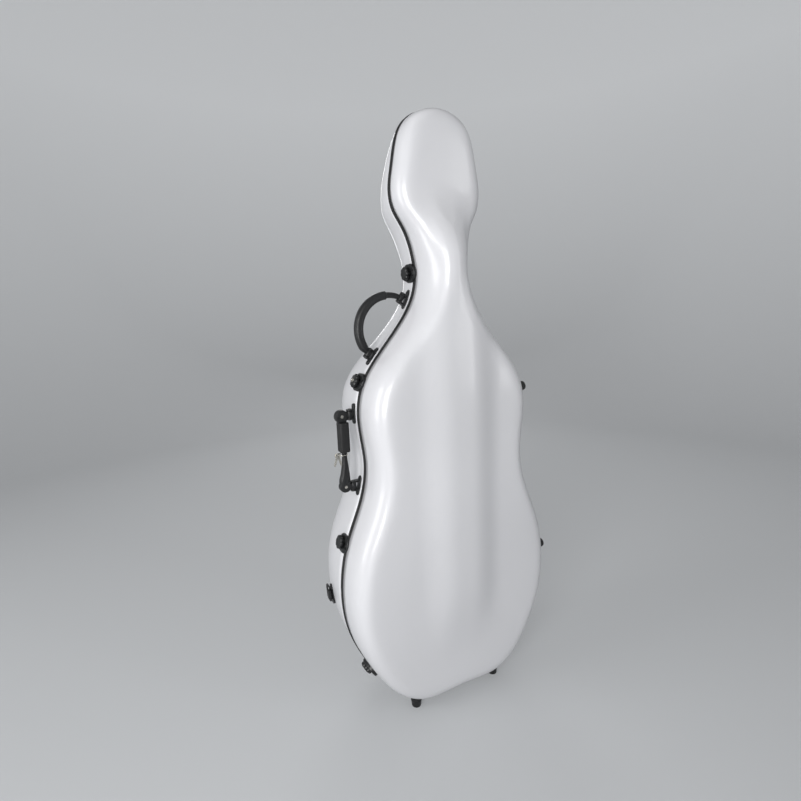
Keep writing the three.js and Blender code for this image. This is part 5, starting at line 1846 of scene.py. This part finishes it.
@dataclass
class Studio:
    """Pale round backdrop, soft lamps and the camera at the photograph's place."""

    place: Vector = field(default_factory=lambda: Vector((-0.5786, -0.9939, 0.9105)))
    forward: Vector = field(default_factory=lambda: Vector((0.4363, 0.8847, -0.1644)))
    up: Vector = field(default_factory=lambda: Vector((0.1007, 0.1335, 0.9859)))
    roll: float = 0.35
    lens: float = 21.62
    sensor: float = 36.0
    backdrop_radius: float = 4.2
    backdrop_height: float = 4.5
    backdrop_bend: float = 1.2
    glow_low: float = 0.16
    glow_high: float = 0.4
    glow_height: float = 3.0
    room_light: float = 0.22

    def build(self) -> None:
        """Make the studio round the object."""
        self._backdrop()
        self._world()
        self._lamp("key", (-1.6, -1.6, 1.1), (0, 0, 0.85), (1.2, 1.3), 38)
        self._lamp("strip", (1.7, -2.2, 1.3), (0, 0, 0.8), (0.5, 1.8), 8)
        self._lamp("left_strip", (-2.8, 0.4, 1.2), (0, 0, 0.8), (1.0, 2.0), 22)
        self._lamp("top", (-0.2, -0.6, 3.6), (0, 0, 0.8), (2.4, 2.4), 9)
        self._lamp("rear", (1.2, 2.9, 2.0), (0, 0, 0.7), (1.6, 1.8), 22)
        self._camera()

    def _backdrop(self) -> None:
        """Turn the floor and the wall in one sweep, as a photographer's roll of paper."""
        radius, bend = self.backdrop_radius, self.backdrop_bend
        angles = np.linspace(0, QUARTER_TURN, 14)
        sweep = [(radius - bend + bend * math.sin(a), bend - bend * math.cos(a)) for a in angles]
        mesh = as_mesh("backdrop", turned([(0, 0), *sweep, (radius, self.backdrop_height)], 96))
        mesh.shade_smooth()
        paper = bpy.data.materials.new("backdrop_paper")
        paper.use_nodes = True
        tree = paper.node_tree
        shader = tree.nodes["Principled BSDF"].inputs
        shader["Base Color"].default_value = linear("b4b6b8")
        shader["Roughness"].default_value = 0.9
        shader["Emission Color"].default_value = linear("f2f4f6")
        place = add_node(tree, "ShaderNodeTexCoord").outputs["Object"]
        split = add_node(tree, "ShaderNodeSeparateXYZ", {}, {"Vector": place})
        span = {"From Max": self.glow_height, "To Min": self.glow_low, "To Max": self.glow_high}
        rise = add_node(tree, "ShaderNodeMapRange", span, {"Value": split.outputs["Z"]})
        ray = add_node(tree, "ShaderNodeLightPath").outputs
        glow = ray["Is Camera Ray"]
        for operation, other in (
            ("MAXIMUM", ray["Is Glossy Ray"]),
            ("MAXIMUM", ray["Is Transmission Ray"]),
            ("MULTIPLY", rise.outputs["Result"]),
        ):
            glow = add_node(tree, "ShaderNodeMath", {"operation": operation}, {0: glow, 1: other}).outputs[0]
        tree.links.new(glow, shader["Emission Strength"])
        mesh.materials.append(paper)
        linked("backdrop", mesh)

    def _world(self) -> None:
        """Fill the room with even light."""
        world = bpy.data.worlds.new("room")
        world.use_nodes = True
        light = world.node_tree.nodes["Background"]
        light.inputs["Color"].default_value = linear("e8eaee")
        light.inputs["Strength"].default_value = self.room_light
        bpy.context.scene.world = world

    def _lamp(
        self, name: str, place: Sequence[float], aim: Sequence[float], size: tuple[float, float], power: float
    ) -> None:
        """Hang one soft lamp.

        Args:
            name: The lamp's name.
            place: Where it hangs.
            aim: The point that it faces.
            size: Its width and height.
            power: Its power in watts.
        """
        light = bpy.data.lights.new(name, "AREA")
        light.shape = "RECTANGLE"
        light.size, light.size_y = size
        light.energy = power
        lamp = linked(name, light)
        lamp.location = place
        lamp.rotation_euler = (Vector(aim) - Vector(place)).to_track_quat("-Z", "Y").to_euler()
        lamp.visible_camera = False

    def _camera(self) -> None:
        """Set up the camera from the pose that was fitted to the photograph."""
        data = bpy.data.cameras.new("camera")
        data.lens = self.lens
        data.sensor_width = self.sensor
        data.clip_start = 0.05
        camera = linked("camera", data)
        forward = self.forward.normalized()
        right = forward.cross(self.up).normalized()
        up = right.cross(forward)
        c, s = math.cos(math.radians(self.roll)), math.sin(math.radians(self.roll))
        turned_right, turned_up = right * c - up * s, right * s + up * c
        turn = Matrix((turned_right, turned_up, -forward)).transposed().to_4x4()
        camera.matrix_world = Matrix.Translation(self.place) @ turn
        bpy.context.scene.camera = camera


def main() -> None:
    """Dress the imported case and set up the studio."""
    logging.basicConfig(level=logging.INFO, format="%(message)s")
    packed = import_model()
    bpy.context.scene.view_settings.view_transform = "Standard"
    case = CaseFrame()
    case.take_joints(packed["joints"])
    skins = Skins(case)
    Shells(case, skins).build()
    SeamTrim(case).build()
    Interior(case, skins).build()
    for name in ("neck", "upper", "lower", "bottom"):
        Latch(case, name, locked=name == "upper").build()
    Hinges().build()
    ShoulderHandle(case).build()
    SideHandle(case).build()
    for name, way in (("left", -1), ("right", 1), ("top", -1)):
        StrapRing(case, name, way).build()
    Feet(case).build()
    Studio().build()


if __name__ == "__main__":
    main()
